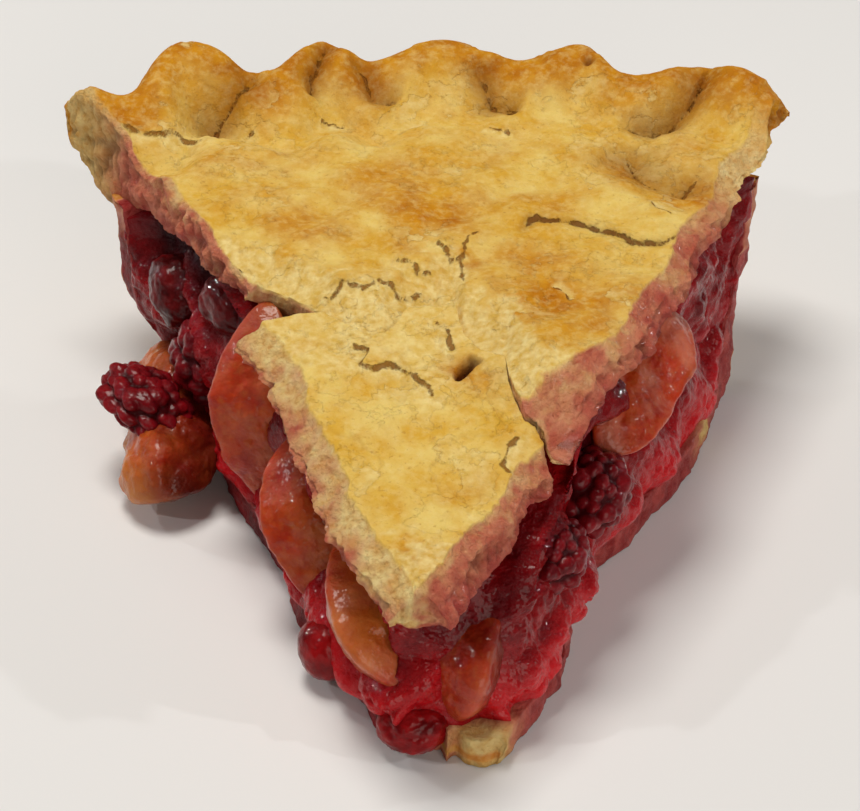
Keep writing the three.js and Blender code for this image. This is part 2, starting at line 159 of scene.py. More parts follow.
# %% Random fields
def corner_value(i, j, k, seed):
    """A fixed random number from 0 to 1 for each whole-number corner of a lattice."""
    h = i * 73856093 ^ j * 19349663 ^ k * 83492791 ^ (seed + 7) * 2654435761
    h = (h ^ (h >> 13)) * 1274126177 & 0xFFFFFFFF
    h = (h ^ (h >> 15)) * 2246822519 & 0xFFFFFFFF
    return ((h ^ (h >> 16)) & 0xFFFFFF) / 0xFFFFFF


def noise(p, size, seed=0):
    """Smooth random value from -1 to 1: corner values blended by eased weights."""
    q = p / size
    base = np.floor(q).astype(np.int64)
    f = ease(q - base)
    total = 0.0
    for c in range(8):
        off = np.array([c & 1, (c >> 1) & 1, (c >> 2) & 1])
        w = np.prod(np.where(off, f, 1.0 - f), axis=-1)
        total = total + w * corner_value(*np.moveaxis(base + off, -1, 0), seed)
    return total * 2.0 - 1.0


def fractal(p, size, octaves=4, gain=0.5, seed=0):
    """Sum of noise at halving sizes, each gain times as strong, scaled back to -1..1."""
    total, weight = 0.0, 0.0
    for n in range(octaves):
        total = total + gain**n * noise(p + 17.3 * n, size / 2**n, seed + n)
        weight += gain**n
    return total / weight


def cells(p, size, seed=0):
    """Distance to the nearest of many scattered seeds, in cells, and that seed's number."""
    q = p / size
    base = np.floor(q).astype(np.int64)
    near, which = np.full(q.shape[:-1], 9.0), np.zeros(q.shape[:-1])
    for c in range(27):
        cell = base + np.array([c % 3, c // 3 % 3, c // 9]) - 1
        ijk = np.moveaxis(cell, -1, 0)
        seeds = cell + 0.5 + 0.8 * (
            np.stack([corner_value(*ijk, seed + n) for n in (11, 23, 37)], -1) - 0.5
        )
        d = np.linalg.norm(q - seeds, axis=-1)
        closer = d < near
        which = np.where(closer, corner_value(*ijk, seed + 51), which)
        near = np.where(closer, d, near)
    return near, which


def wave(x, y, z=0.0, seed=0):
    """Slow unevenness from -1 to 1: three crossed sine waves of 8 to 20 mm."""
    a = np.sin(0.37 * x + 0.21 * y + 0.3 * z + seed)
    b = np.sin(-0.29 * x + 0.45 * y + 0.24 * z + 2.1 * seed + 1)
    c = np.sin(0.63 * x - 0.53 * y + 0.41 * z + 3.3 * seed + 2)
    return (a + b + 0.7 * c) / 2.7


def along_line(x, y, line):
    """Distance from a polyline, signed plus to its left, and how far along it, 0 to 1."""
    best = np.full(np.shape(x), 1e9)
    side = np.ones(np.shape(x))
    where = np.zeros(np.shape(x))
    line = np.array(line, float)
    for n, (a, b) in enumerate(zip(line[:-1], line[1:])):
        d = b - a
        t = np.clip(((x - a[0]) * d[0] + (y - a[1]) * d[1]) / (d @ d), 0, 1)
        ex, ey = x - a[0] - t * d[0], y - a[1] - t * d[1]
        dist = np.hypot(ex, ey)
        closer = dist < best
        best = np.where(closer, dist, best)
        side = np.where(closer, np.sign(d[0] * ey - d[1] * ex), side)
        where = np.where(closer, (n + t) / (len(line) - 1), where)
    return best * side, where


# %% [markdown]
# ## From points to meshes
#
# A pastry sheet is a pillow: a top surface and an underside that share their front and back
# edges, joined at both cuts by a face of its own. The ring that runs once round the pillow is
# repeated from front to back, so the mesh is closed and every face is a small quad.

# %% Mesh helpers
def make_object(name, points, faces, masks, material):
    """Mesh object from points in millimetres; masks become float attributes of its points."""
    pts = np.asarray(points, float).reshape(-1, 3)
    _, first, back = np.unique(
        np.round(pts * 2000).astype(np.int64), axis=0, return_index=True, return_inverse=True
    )
    back = back.reshape(-1)
    quads = back[faces]
    nxt = np.roll(quads, -1, axis=1)
    keep = (quads == nxt).sum(1) <= 1
    keep &= (quads[:, 0] != quads[:, 2]) & (quads[:, 1] != quads[:, 3])
    quads = quads[keep]
    pts = pts[first]
    tri = np.concatenate([quads[:, [0, 1, 2]], quads[:, [0, 2, 3]]])
    a, b, c = pts[tri[:, 0]], pts[tri[:, 1]], pts[tri[:, 2]]
    if np.einsum("ij,ij->i", a, np.cross(b, c)).sum() < 0:
        quads = quads[:, ::-1]
    metres = (pts - [0, FRAME_Y, 0]) / 1000
    repeats = quads == np.roll(quads, 1, axis=1)
    corners = 4 - repeats.sum(1)
    mesh = bpy.data.meshes.new(name)
    mesh.vertices.add(len(metres))
    mesh.vertices.foreach_set("co", metres.astype(np.float32).reshape(-1))
    mesh.loops.add(int(corners.sum()))
    mesh.loops.foreach_set("vertex_index", quads[~repeats].astype(np.int32))
    mesh.polygons.add(len(quads))
    mesh.polygons.foreach_set("loop_start", (np.cumsum(corners) - corners).astype(np.int32))
    mesh.update(calc_edges=True)
    mesh.validate()
    mesh.shade_smooth()
    for label, values in masks.items():
        attribute = mesh.attributes.new(label, "FLOAT", "POINT")
        flat = np.broadcast_to(values, np.asarray(points).shape[:-1]).reshape(-1)[first]
        attribute.data.foreach_set("value", flat.astype(np.float32))
    mesh.materials.append(material)
    obj = bpy.data.objects.new(name, mesh)
    bpy.context.scene.collection.objects.link(obj)
    print(f"{name}: {int((corners - 2).sum())} triangles")
    return obj


def ring_faces(rows, columns):
    """Quads between neighbouring rings of a grid whose rings close on themselves."""
    k, i = np.meshgrid(np.arange(rows - 1), np.arange(columns), indexing="ij")
    a, b = k * columns + i, k * columns + (i + 1) % columns
    return np.stack([a, b, b + columns, a + columns], -1).reshape(-1, 4)


def pillow(top, under, steps):
    """Rings round a top and an underside grid, with steps rows of points at both cuts."""
    v = np.linspace(0, 1, steps + 1)[1:-1]
    right = mix(top[:, -1:], under[:, -1:], v[None, :, None])
    left = mix(under[:, :1], top[:, :1], v[None, :, None])
    counts = (top.shape[1], v.size, under.shape[1], v.size)
    part = np.repeat(np.arange(4), counts)
    depth = np.concatenate([np.zeros(counts[0]), v, np.ones(counts[2]), v[::-1]])
    return np.concatenate([top, right, under[:, ::-1], left], axis=1), part, depth


def dress(obj, nodes):
    """The piece rides on the slice and stands for its solids, which it hides."""
    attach(obj, "root")
    if nodes:
        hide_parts(*nodes)


# %% [markdown]
# ## Materials
#
# Colours are written as sRGB hex values and turned into linear light by one function.
# Cooked fruit and pastry both let light in, so nearly every material scatters below its surface;
# wet ones also carry a clear, smooth coat of juice.

# %% Colour and node helpers
def linear(hex_colour):
    """Linear red, green, blue and 1 from a hex colour, by the sRGB curve."""
    rgb = [int(hex_colour[n : n + 2], 16) / 255 for n in (1, 3, 5)]
    return [c / 12.92 if c <= 0.04045 else ((c + 0.055) / 1.055) ** 2.4 for c in rgb] + [1.0]


def add(material, kind, inputs=None, **settings):
    """Adds a node, sets its properties and sets or links its inputs; returns the node."""
    node = material.node_tree.nodes.new(kind)
    for name, value in settings.items():
        setattr(node, name, value)
    for name, value in (inputs or {}).items():
        socket = node.inputs[name]
        if isinstance(value, bpy.types.NodeSocket):
            material.node_tree.links.new(value, socket)
        else:
            socket.default_value = value
    return node


def new_material(name):
    """An empty node material with its output node."""
    material = bpy.data.materials.new(name)
    material.use_nodes = True
    material.node_tree.nodes.clear()
    return material


def blend(material, factor, first, second):
    """Colour mix of two colours, each a hex value or a socket, by a factor."""
    a = linear(first) if isinstance(first, str) else first
    b = linear(second) if isinstance(second, str) else second
    node = add(material, "ShaderNodeMix", data_type="RGBA", clamp_factor=True)
    for socket, value in zip((node.inputs[0], node.inputs[6], node.inputs[7]), (factor, a, b)):
        if isinstance(value, bpy.types.NodeSocket):
            material.node_tree.links.new(value, socket)
        else:
            socket.default_value = value
    return node.outputs[2]


def mask(material, name):
    """The factor output of a mesh attribute."""
    return add(material, "ShaderNodeAttribute", attribute_name=name).outputs["Fac"]


def field(material, size_mm, detail=3.0, low=0.35, high=0.65, stretch=(1, 1, 1), rough=0.55):
    """Noise with waves of size_mm, spread from 0 at low to 1 at high."""
    place = add(material, "ShaderNodeTexCoord").outputs["Object"]
    scaled = add(material, "ShaderNodeMapping", {"Vector": place, "Scale": stretch})
    wavy = add(
        material, "ShaderNodeTexNoise",
        {"Vector": scaled.outputs[0], "Scale": 1000 / size_mm, "Detail": detail, "Roughness": rough},
    )  # fmt: skip
    spread = add(
        material, "ShaderNodeMapRange",
        {"Value": wavy.outputs["Fac"], "From Min": low, "From Max": high},
    )  # fmt: skip
    return spread.outputs[0]


def bump(material, height, distance_mm, strength=1.0, under=None):
    """A bump of a height field, its full swing being distance_mm, laid on another."""
    inputs = {"Height": height, "Distance": distance_mm / 1000, "Strength": strength}
    if under is not None:
        inputs["Normal"] = under
    return add(material, "ShaderNodeBump", inputs).outputs[0]


def calc(material, operation, *values, clamp=False):
    """One step of arithmetic on numbers or sockets."""
    node = add(material, "ShaderNodeMath", operation=operation, use_clamp=clamp)
    for socket, value in zip(node.inputs, values):
        if isinstance(value, bpy.types.NodeSocket):
            material.node_tree.links.new(value, socket)
        else:
            socket.default_value = value
    return node.outputs[0]


def scale(material, value, by, plus=0.0):
    """value times by plus plus, held between 0 and 1."""
    return calc(material, "MULTIPLY_ADD", value, by, plus, clamp=True)


def ramp(material, value, low, high):
    """0 where value is low, 1 where it is high, straight between them."""
    inputs = {"Value": value, "From Min": low, "From Max": high}
    return add(material, "ShaderNodeMapRange", inputs).outputs[0]


def flaking(material, size_mm, much):
    """Where a thin top layer has come off, 0 or 1, and a fine line along its torn edge that carries
    painted shade.
    """
    place = add(material, "ShaderNodeTexCoord").outputs["Object"]
    inputs = {"Vector": place, "Scale": 1000 / size_mm, "Detail": 7.0, "Roughness": 0.6}
    wavy = add(material, "ShaderNodeTexNoise", inputs).outputs["Fac"]
    level = calc(material, "MULTIPLY_ADD", much, 0.2, wavy)
    near = calc(material, "ABSOLUTE", calc(material, "SUBTRACT", level, 0.626))
    return ramp(material, level, 0.628, 0.645), ramp(material, near, 0.01, 0.0)


def shaded_crack_gap(material):
    """The gap along a torn layer, painted dark as shade: the distance in the mesh, roughened, less
    its width.
    """
    place = add(material, "ShaderNodeTexCoord").outputs["Object"]
    inputs = {"Vector": place, "Scale": 1000 / 1.8, "Detail": 5.0, "Roughness": 0.65}
    wavy = add(material, "ShaderNodeTexNoise", inputs).outputs["Fac"]
    away = calc(material, "MULTIPLY_ADD", wavy, 1.6, mask(material, "split"))
    thin = calc(material, "MULTIPLY_ADD", mask(material, "open"), -0.4, away)
    return ramp(material, thin, 0.95, 0.72)


def finish(material, **inputs):
    """Principled surface with these inputs, joined to the output."""
    named = {name.replace("_", " "): value for name, value in inputs.items()}
    surface = add(material, "ShaderNodeBsdfPrincipled", named)
    add(material, "ShaderNodeOutputMaterial", {"Surface": surface.outputs[0]})
    return material


# %% Pastry, baked and cut
def pastry_material():
    """Short pastry: a matt skin, pale to brown with heat, and a crumbly cream inside, with painted
    shade in creases, cracks and pores.
    """
    m = new_material("short_pastry_rolled_and_oven_baked")
    pale = blend(m, field(m, 6, 5, 0.38, 0.62), "#dfc26c", "#d2a43a")
    golden = blend(m, field(m, 3.5, 5, 0.36, 0.64), "#c88a18", "#b06a0a")
    skin = blend(m, scale(m, mask(m, "bake"), 1.15), pale, golden)
    skin = blend(m, scale(m, field(m, 1.1, 4, 0.46, 0.72), 0.4), skin, "#e4cb84")
    skin = blend(m, scale(m, field(m, 0.7, 3, 0.6, 0.74), 0.45), skin, "#a06a1e")
    bare = blend(m, field(m, 1.3, 5, 0.35, 0.65), "#e6d08e", "#cfa950")
    gone, edge = flaking(m, 7, mask(m, "flaky"))
    patchy = field(m, 9, 4, 0.46, 0.62)
    skin = blend(m, calc(m, "MULTIPLY", gone, scale(m, patchy, 0.6)), skin, bare)
    skin = blend(m, mask(m, "pale"), skin, bare)
    # painted shade: a brown line along the edge of each lifted layer
    skin = blend(m, calc(m, "MULTIPLY", edge, scale(m, patchy, 0.1)), skin, "#a87428")
    gap = shaded_crack_gap(m)
    # painted shade in the cracks, darker where they are more open
    crack_shade = blend(m, mask(m, "open"), "#96601a", "#48200a")
    skin = blend(m, scale(m, gap, 0.85), skin, crack_shade)
    # scorch: burnt brown with painted shade in the rim's creases, a small pit and along layer steps
    skin = blend(m, mask(m, "scorch"), skin, "#7d4614")
    crumb = blend(m, field(m, 1.6, 5, 0.35, 0.65), "#f0d898", "#deb068")
    crumb = blend(m, scale(m, field(m, 0.8, 3, 0.56, 0.7), 0.35), crumb, "#b87c40")
    crumb = blend(m, scale(m, mask(m, "bake"), 0.35), crumb, "#c8902e")
    colour = blend(m, mask(m, "crumb"), skin, crumb)
    tinted = blend(m, field(m, 2.4, 5, 0.36, 0.64), "#d48a68", "#bc5e48")
    soaked = blend(m, field(m, 2.2, 5, 0.36, 0.64), "#8a141a", "#b84c48")
    colour = blend(m, scale(m, mask(m, "stain"), 2.2), colour, tinted)
    colour = blend(m, scale(m, mask(m, "stain"), 2.0, -1.0), colour, soaked)
    colour = blend(m, mask(m, "jam"), colour, blend(m, field(m, 3, 4), "#5c070c", "#98141c"))
    # painted shade in crumb pores, cracks and the steam slit
    colour = blend(m, mask(m, "hollow"), colour, "#5c2410")
    grain = bump(m, field(m, 0.45, 3, 0.2, 0.8), 0.1, 0.5)
    grain = bump(m, scale(m, gap, -1.0, 1.0), 0.35, 0.8, grain)
    skin_only = scale(m, mask(m, "crumb"), -0.8, 0.8)
    torn_off = bump(m, scale(m, gone, -1.0, 1.0), 0.13, skin_only, grain)
    rough = scale(m, mask(m, "crumb"), 0.6, 0.32)
    crumbly = bump(m, field(m, 1.0, 5, 0.3, 0.7, rough=0.65), 0.55, rough, torn_off)
    return finish(
        m, Base_Color=colour, Roughness=scale(m, mask(m, "wet"), -0.45, 0.78),
        Subsurface_Weight=0.08, Subsurface_Radius=(1.0, 0.6, 0.3), Subsurface_Scale=0.001,
        Specular_IOR_Level=0.12, Coat_Weight=scale(m, mask(m, "wet"), 0.25), Coat_Roughness=0.12,
        Normal=crumbly,
    )  # fmt: skip


# %% Juice that has set round the fruit
def juice_material():
    """Berry juice set with starch: red, brighter at the foot and, as painted light, where it stands
    out; painted shade makes it nearly black in hollows and under the lid.
    """
    m = new_material("berry_juice_set_with_starch")
    body = blend(m, field(m, 5, 4, 0.35, 0.7), "#8e060c", "#5e0208")
    # thin: brighter red at the foot, and painted light where the face stands out
    body = blend(m, mask(m, "thin"), body, "#c4141c")
    cloudy = blend(m, field(m, 2.5, 5), "#a0121a", "#b8343a")
    colour = blend(m, scale(m, mask(m, "smear"), 0.7), body, cloudy)
    # painted shade: nearly black in hollows and under the lid
    colour = blend(m, mask(m, "deep"), colour, "#30040a")
    small = bump(m, field(m, 0.9, 3, 0.3, 0.7), 0.3, 0.6)
    ripple = bump(m, field(m, 2.2, 4, 0.3, 0.7), 0.6, 0.6, small)
    return finish(
        m, Base_Color=colour, Roughness=0.34, Subsurface_Weight=0.25,
        Subsurface_Radius=(1.0, 0.12, 0.1), Subsurface_Scale=0.0025, Specular_IOR_Level=0.08,
        Coat_Weight=scale(m, mask(m, "deep"), -0.5, 0.7), Coat_IOR=1.3, Coat_Roughness=0.05,
        Normal=ripple, Coat_Normal=bump(m, field(m, 1.6, 2, 0.3, 0.7), 0.3, 0.5),
    )  # fmt: skip


# %% Cooked peach, cherry and raspberry
def peach_material():
    """Cooked peach flesh: orange, dyed red where berry juice got in, with painted shade on one side
    and where it goes into shadow, wet and translucent.
    """
    m = new_material("peach_flesh_cooked_in_juice")
    flesh = blend(m, field(m, 4, 5), "#c67c34", "#ac5818")
    dyed_and_shaded = blend(m, field(m, 3, 5), "#961804", "#b0320a")
    # dyed_and_shaded: juice dye, with painted shade on one side of each slice
    spread = blend(m, field(m, 5, 5, 0.38, 0.62), mask(m, "dyed_and_shaded"), scale(m, mask(m, "dyed_and_shaded"), 1.6))
    colour = blend(m, spread, flesh, dyed_and_shaded)
    colour = blend(m, scale(m, field(m, 1.4, 4, 0.5, 0.75), 0.5), colour, "#b4602c")
    colour = blend(m, mask(m, "pale"), colour, "#c06e54")
    # painted shade where a slice goes into shadow, and darker at its ends
    colour = blend(m, mask(m, "deep"), colour, "#4e0806")
    skin = bump(m, field(m, 1.0, 4, 0.3, 0.7), 0.22, 0.45)
    soft = bump(m, field(m, 3.5, 3, 0.3, 0.7), 0.6, 0.45, skin)
    return finish(
        m, Base_Color=colour, Roughness=0.42, Subsurface_Weight=0.3,
        Subsurface_Radius=(1.0, 0.3, 0.1), Subsurface_Scale=0.0025, Specular_IOR_Level=0.15,
        Coat_Weight=0.7, Coat_IOR=1.3, Coat_Roughness=0.05, Normal=soft,
        Coat_Normal=bump(m, field(m, 1.6, 2, 0.3, 0.7), 0.25, 0.5),
    )  # fmt: skip


def berry_material(name, bright, dark, rough):
    """A cooked berry: dark skin in random bright and dark patches, with painted shade between its
    drupelets, glazed with juice.
    """
    m = new_material(name)
    colour = blend(m, field(m, 2.5, 4), bright, dark)
    # painted shade between the drupelets
    colour = blend(m, mask(m, "deep"), colour, "#3a0408")
    pores = bump(m, field(m, 0.9, 3, 0.3, 0.7), 0.14, 0.5)
    return finish(
        m, Base_Color=colour, Roughness=rough, Subsurface_Weight=0.25,
        Subsurface_Radius=(1.0, 0.1, 0.08), Subsurface_Scale=0.002, Specular_IOR_Level=0.08,
        Coat_Weight=scale(m, mask(m, "deep"), -0.7, 0.7), Coat_IOR=1.25, Coat_Roughness=0.05,
        Normal=pores, Coat_Normal=bump(m, field(m, 1.6, 2, 0.3, 0.7), 0.15, 0.5),
    )  # fmt: skip


PASTRY_MATERIAL = pastry_material()
JUICE = juice_material()
PEACH = peach_material()
CHERRY = berry_material("cherry_cooked_whole", "#900a0e", "#5c0408", 0.34)
DARK_CHERRY = berry_material("dark_cherry_cooked_whole", "#640a0c", "#3a0406", 0.4)
RASPBERRY = berry_material("raspberry_cooked_soft", "#7e0e16", "#580810", 0.36)

# %% [markdown]
# ## The lid
#
# The lid's edge was folded over the wall and pressed with finger and thumb, which makes the
# wavy rim: each press leaves a valley with a crease that runs inwards. The sheet dips a little
# inside the rim, where it hinges over the wall, and has dried into a thin skin that cracks and
# lifts in flakes. Creases and cracks are lines in plan; a height function reads its distance
# from each of them.

# %% Lines on the lid, in millimetres from the pie's centre
# Creases: line, width, depth. Edges of thin layers that have come loose: line, lift.
CREASES = [
    ([(-25.5, 110), (-30.4, 104.2), (-33.1, 101.5), (-33.2, 96.5)], 2.0, 1.9),
    ([(-16.2, 116), (-18.3, 110), (-19.8, 104.5)], 1.1, 1.8),
    ([(-12.6, 112.5), (-9.4, 105.8), (-5.5, 104.3)], 1.5, 1.3),
    ([(5.4, 112), (7.8, 104.8), (12.8, 103.1)], 1.6, 1.8),
    ([(41.5, 112), (34.3, 101.8), (30.1, 99.5), (24.6, 99.6)], 1.5, 2.6),
    ([(25.2, 96.2), (27.4, 87.2), (33, 82.8), (36.8, 88.5)], 2.6, 1.5),
]
FLAKE_EDGES = [
    ([(-47.3, 95.5), (-44.7, 94.3), (-41.4, 94.4), (-38.4, 95.5), (-35.3, 96), (-31.3, 97.5)], 0.9),
    ([(-28.9, 98.2), (-26.6, 99.3)], 0.5),
    ([(-17.7, 102.4), (-13.6, 101.8)], 0.5),
    ([(5.7, 98.7), (8, 97.4), (10.3, 97.1)], 0.5),
    ([(15.8, 53.8), (14.7, 53.1), (13.5, 55), (11.4, 56.7)], 0.7),
    ([(30.5, 73.8), (29, 76.2), (27.9, 78.8)], 0.6),
    ([(-21.1, 56.8), (-17.2, 54.9), (-15.1, 56.7), (-12.5, 55.7), (-9.2, 57.5), (-7.9, 55.4),
      (-5.2, 56.4), (-2, 55.7)], 0.7),
    ([(-9.6, 63), (-6.3, 62), (-5.1, 60), (-2.4, 60.6)], 0.6),
    ([(-3.4, 67.7), (-0.8, 62.6), (1.9, 63.6)], 0.8),
]  # fmt: skip
# The long crack, and a torn line that runs from the break up to it
CRACK = [(7, 70.3), (9.6, 71.5), (11.6, 73.2), (14.8, 72.7), (18.8, 72), (21.1, 70), (24.2, 67.4),
         (28, 67.5), (30.4, 68.9), (34.5, 69.5)]  # fmt: skip
PIT = [(1, 56), (0.6, 62.1), (1.6, 67.7), (4, 70)]


# %% Heights of the lid
def lines_of(edges):
    """Only the lines out of a list of (line, ...) entries."""
    return [entry[0] for entry in edges]


def rim_edge(phi):
    """Radius of the crimped edge at an angle about the pie's centre."""
    return table(CRIMPS, phi, eased=True)


def rim_under(phi):
    """Height of the rim's underside, lowest at the left cut."""
    return mix(29.6, 34.2, ease((phi + 26) / 40))


def break_line(at):
    """Distance from the apex to the torn edge that both pieces of the lid share."""
    return table(BREAK, at) + 1.5 * fractal(xyz(at * 0.9, 0, 3), 3.4, 4, 0.6, 71)


def sunk(x, y):
    """How far the lid has sagged towards the break, from 0 inside to 1 at its edge."""
    at, rho = to_apex(x, y)
    return ease(1 - (rho - table(BREAK, at)) / 10)


def lid_under(x, y):
    """Underside of the lid: flat, then bent to the rim's underside."""
    r, phi = np.hypot(x, y), np.degrees(np.arctan2(x, y))
    z = mix(LID_TOP - PASTRY + 0.3 * wave(x, y, 0, 4), rim_under(phi), ease((r - 84) / 14))
    at, rho = to_apex(x, y)
    hang = hill((at - CUT_LEFT) * np.radians(1) * rho, 5) * ease((rho - 80) / 8)
    z = z - 1.8 * sunk(x, y) - 3.0 * hang * ease((97 - r) / 6)
    return z - 5.0 * hang * hill(r - 106, 8)


def groove(x, y, line, width, sharp=0.0):
    """Depth from 0 to 1 of a furrow along a line; sharp turns its round bottom into a fold."""
    d, t = along_line(x, y, line)
    shape = mix(hill(d, width), np.exp(-np.abs(d) / width), sharp)
    return shape * ease(t * 6) * ease((1 - t) * 4), d, t


def splits(x, y, *groups):
    """Distance in mm to the nearest torn edge of all groups, and how open that edge is."""
    nearest, wide = np.full(np.shape(x), 12.0), np.zeros(np.shape(x))
    for lines, opened in groups:
        for line in lines:
            d, t = along_line(x, y, line)
            away = np.abs(d) + 1.5 * (1 - ease(t * 6) * ease((1 - t) * 6))
            closer = away < nearest
            nearest, wide = np.where(closer, away, nearest), np.where(closer, opened, wide)
    return nearest, wide


def lifted(x, y, edges):
    """Lift in millimetres of thin layers along their edges, fading over 3 mm, and bare strips."""
    lift, bare = np.zeros_like(x), np.zeros_like(x)
    for line, height in edges:
        d, t = along_line(x, y, line)
        ends = ease(t * 8) * ease((1 - t) * 8)
        lift = lift + height * ease(1 - d / 3) * ease(d / 0.5 + 0.5) * ends
        bare = np.maximum(bare, ease(1 + d / 2.5) * (d < 0) * ends)
    return lift, bare


def terraces(p, size, seed):
    """Layers of skin that end along wandering edges: height 0 to 1 and the line of the edge."""
    level = fractal(p, size, 5, 0.55, seed)
    return ease((level - 0.02) * 14), hill(level, 0.03)


def lid_top(x, y):
    """Height and masks of the lid's top: a level plus a rim rise, less creases and cracks."""
    r, phi = np.hypot(x, y), np.degrees(np.arctan2(x, y))
    p = xyz(x, y)
    wx, wy = x + 0.8 * fractal(p, 3.2, 3, 0.6, 5), y + 0.8 * fractal(p, 3.2, 3, 0.6, 9)
    edge = rim_edge(phi)
    inside = edge - r
    fold = ease((edge - 112.5) / 6)
    rise = ease(1 - (inside - 5) / 11)
    crest = RIM_TOP + 0.25 * (edge - RIM_RADIUS)
    z = LID_TOP + 0.5 * wave(x, y, 0, 1) + (crest - LID_TOP) * rise * mix(0.85, 1, fold)
    z -= 1.8 * (1 - fold) * hill(inside - 9, 4)
    z -= 2.2 * hill(inside - 17, 4) * np.clip(-x / 12, 0, 1)
    z -= 3.8 * np.clip(1 - inside / 4, 0, 1) ** 2
    z += 0.8 * ease((55 - r) / 12) * np.clip((x + 2) / 8, 0, 1)
    z -= 1.8 * sunk(x, y)
    crease = np.zeros_like(x)
    for line, width, depth in CREASES:
        wide, _, _ = groove(wx, wy, line, 1.7 * width)
        fine, _, _ = groove(wx, wy, line, 0.32 * width, 1.0)
        z -= depth * (0.95 * wide + 0.65 * fine)
        crease = np.maximum(crease, wide)
    tear, d, t = groove(wx, wy, CRACK, 0.8)
    z += 0.6 * ease(1 - d / 3) * ease(d / 1.6 + 0.5) * ease(t * 5) - 0.5 * tear
    lift, bare = lifted(wx, wy, FLAKE_EDGES)
    step, step_edge = terraces(p * [0.8, 1.4, 1], 9, 31)
    z += 0.6 * lift + 0.22 * step
    split, opened = splits(wx, wy, ([CRACK], 0.7), ([PIT], 0.45), (lines_of(CREASES), 0.2),
                           (lines_of(FLAKE_EDGES), 0.3))  # fmt: skip
    blister = np.clip(fractal(p, 7, 3, 0.5, 21) - 0.12, 0, 1)
    z += 0.5 * blister + 0.3 * fractal(p, 3.4, 4, 0.6, 41)
    small_pit = hill(np.hypot(x - 21.9, y - 110.3), 0.8)
    z -= 1.2 * small_pit
    bake = bake_of(x, y, inside, PATCHES) + 0.3 * blister
    at, rho = to_apex(x, y)
    front = ease(1 - (rho - table(BREAK, at)) / 7) * ease((3 - at) / 3)
    flaked = np.clip(0.8 * bare + front * ease(fractal(p, 4, 3, 0.5, 43) * 3 + 0.5), 0, 1)
    # painted shade in the long crack
    hollow = 0.25 * tear
    # painted shade in the small pit, in the rim's creases and along the layer steps
    scorch = np.clip(small_pit + 0.5 * crease * ease((r - 84) / 8) + 0.06 * step_edge, 0, 1)
    flaky = 0.35 + 0.6 * front + 0.35 * hill(inside - 14, 4) + 0.4 * fractal(p, 13, 2, 0.5, 45)
    flaky = np.clip(flaky - 0.5 * ease(1 - inside / 9), 0, 1)
    return {"z": z, "bake": bake - 0.5 * flaked, "pale": flaked, "hollow": hollow,
            "scorch": scorch, "flaky": flaky, "split": split, "open": opened}


# Browned patches: x, y, size and strength
PATCHES = [
    (-3, 74, 9, 0.8), (-8.3, 82, 8, 0.75), (-20, 71, 7, 0.7), (-25, 78, 6, 0.5),
    (10.4, 52, 8, 1.0), (15.1, 45.9, 6, 0.8), (20, 54, 6, 0.6), (8.7, 64, 7, 0.7),
    (24.5, 87, 8, 0.7), (32, 80, 6, 0.6), (33.8, 93, 7, 0.5), (-30, 88, 7, 0.5),
    (-42, 104, 8, 0.5), (16, 80, 7, 0.45), (2, 62, 4, 0.8), (-3, 60, 5, 0.5), (5, 92, 7, 0.2),
]  # fmt: skip


def bake_of(x, y, inside, patches):
    """How brown the skin is: the rim most, then the patches where the lid stood high."""
    p = xyz(x, y)
    wx, wy = x + 4 * fractal(p, 7, 3, 0.6, 61), y + 4 * fractal(p, 7, 3, 0.6, 62)
    bake = 0.1 + 0.95 * ease(1 - (inside - 3) / 13)
    for px, py, size, much in patches:
        bake = np.maximum(bake, much * hill(np.hypot(wx - px, wy - py), size))
    return bake + 0.5 * fractal(p, 6, 5, 0.65, 63)


# %% Crumb and the sheet that both pieces of the lid are made with
STRIDE = 6  # the hidden underside has one point for every six of the top


def crumbs(p, size=3.0):
    """Relief of torn pastry in millimetres: rounded lumps, open pores and fine grain."""
    near, which = cells(p, size, 131)
    lumps = (0.4 + which) * (1 - np.clip(1.2 * near, 0, 1) ** 2)
    pores = 1 - np.clip(3 * np.abs(fractal(p, 1.2 * size, 3, 0.6, 133)), 0, 1)
    coarse = fractal(p, 1.6 * size, 2, 0.5, 134)
    return 0.5 * lumps + 0.7 * coarse - 0.6 * pores + 0.6 * fractal(p, 0.5 * size, 3, 0.65, 135)


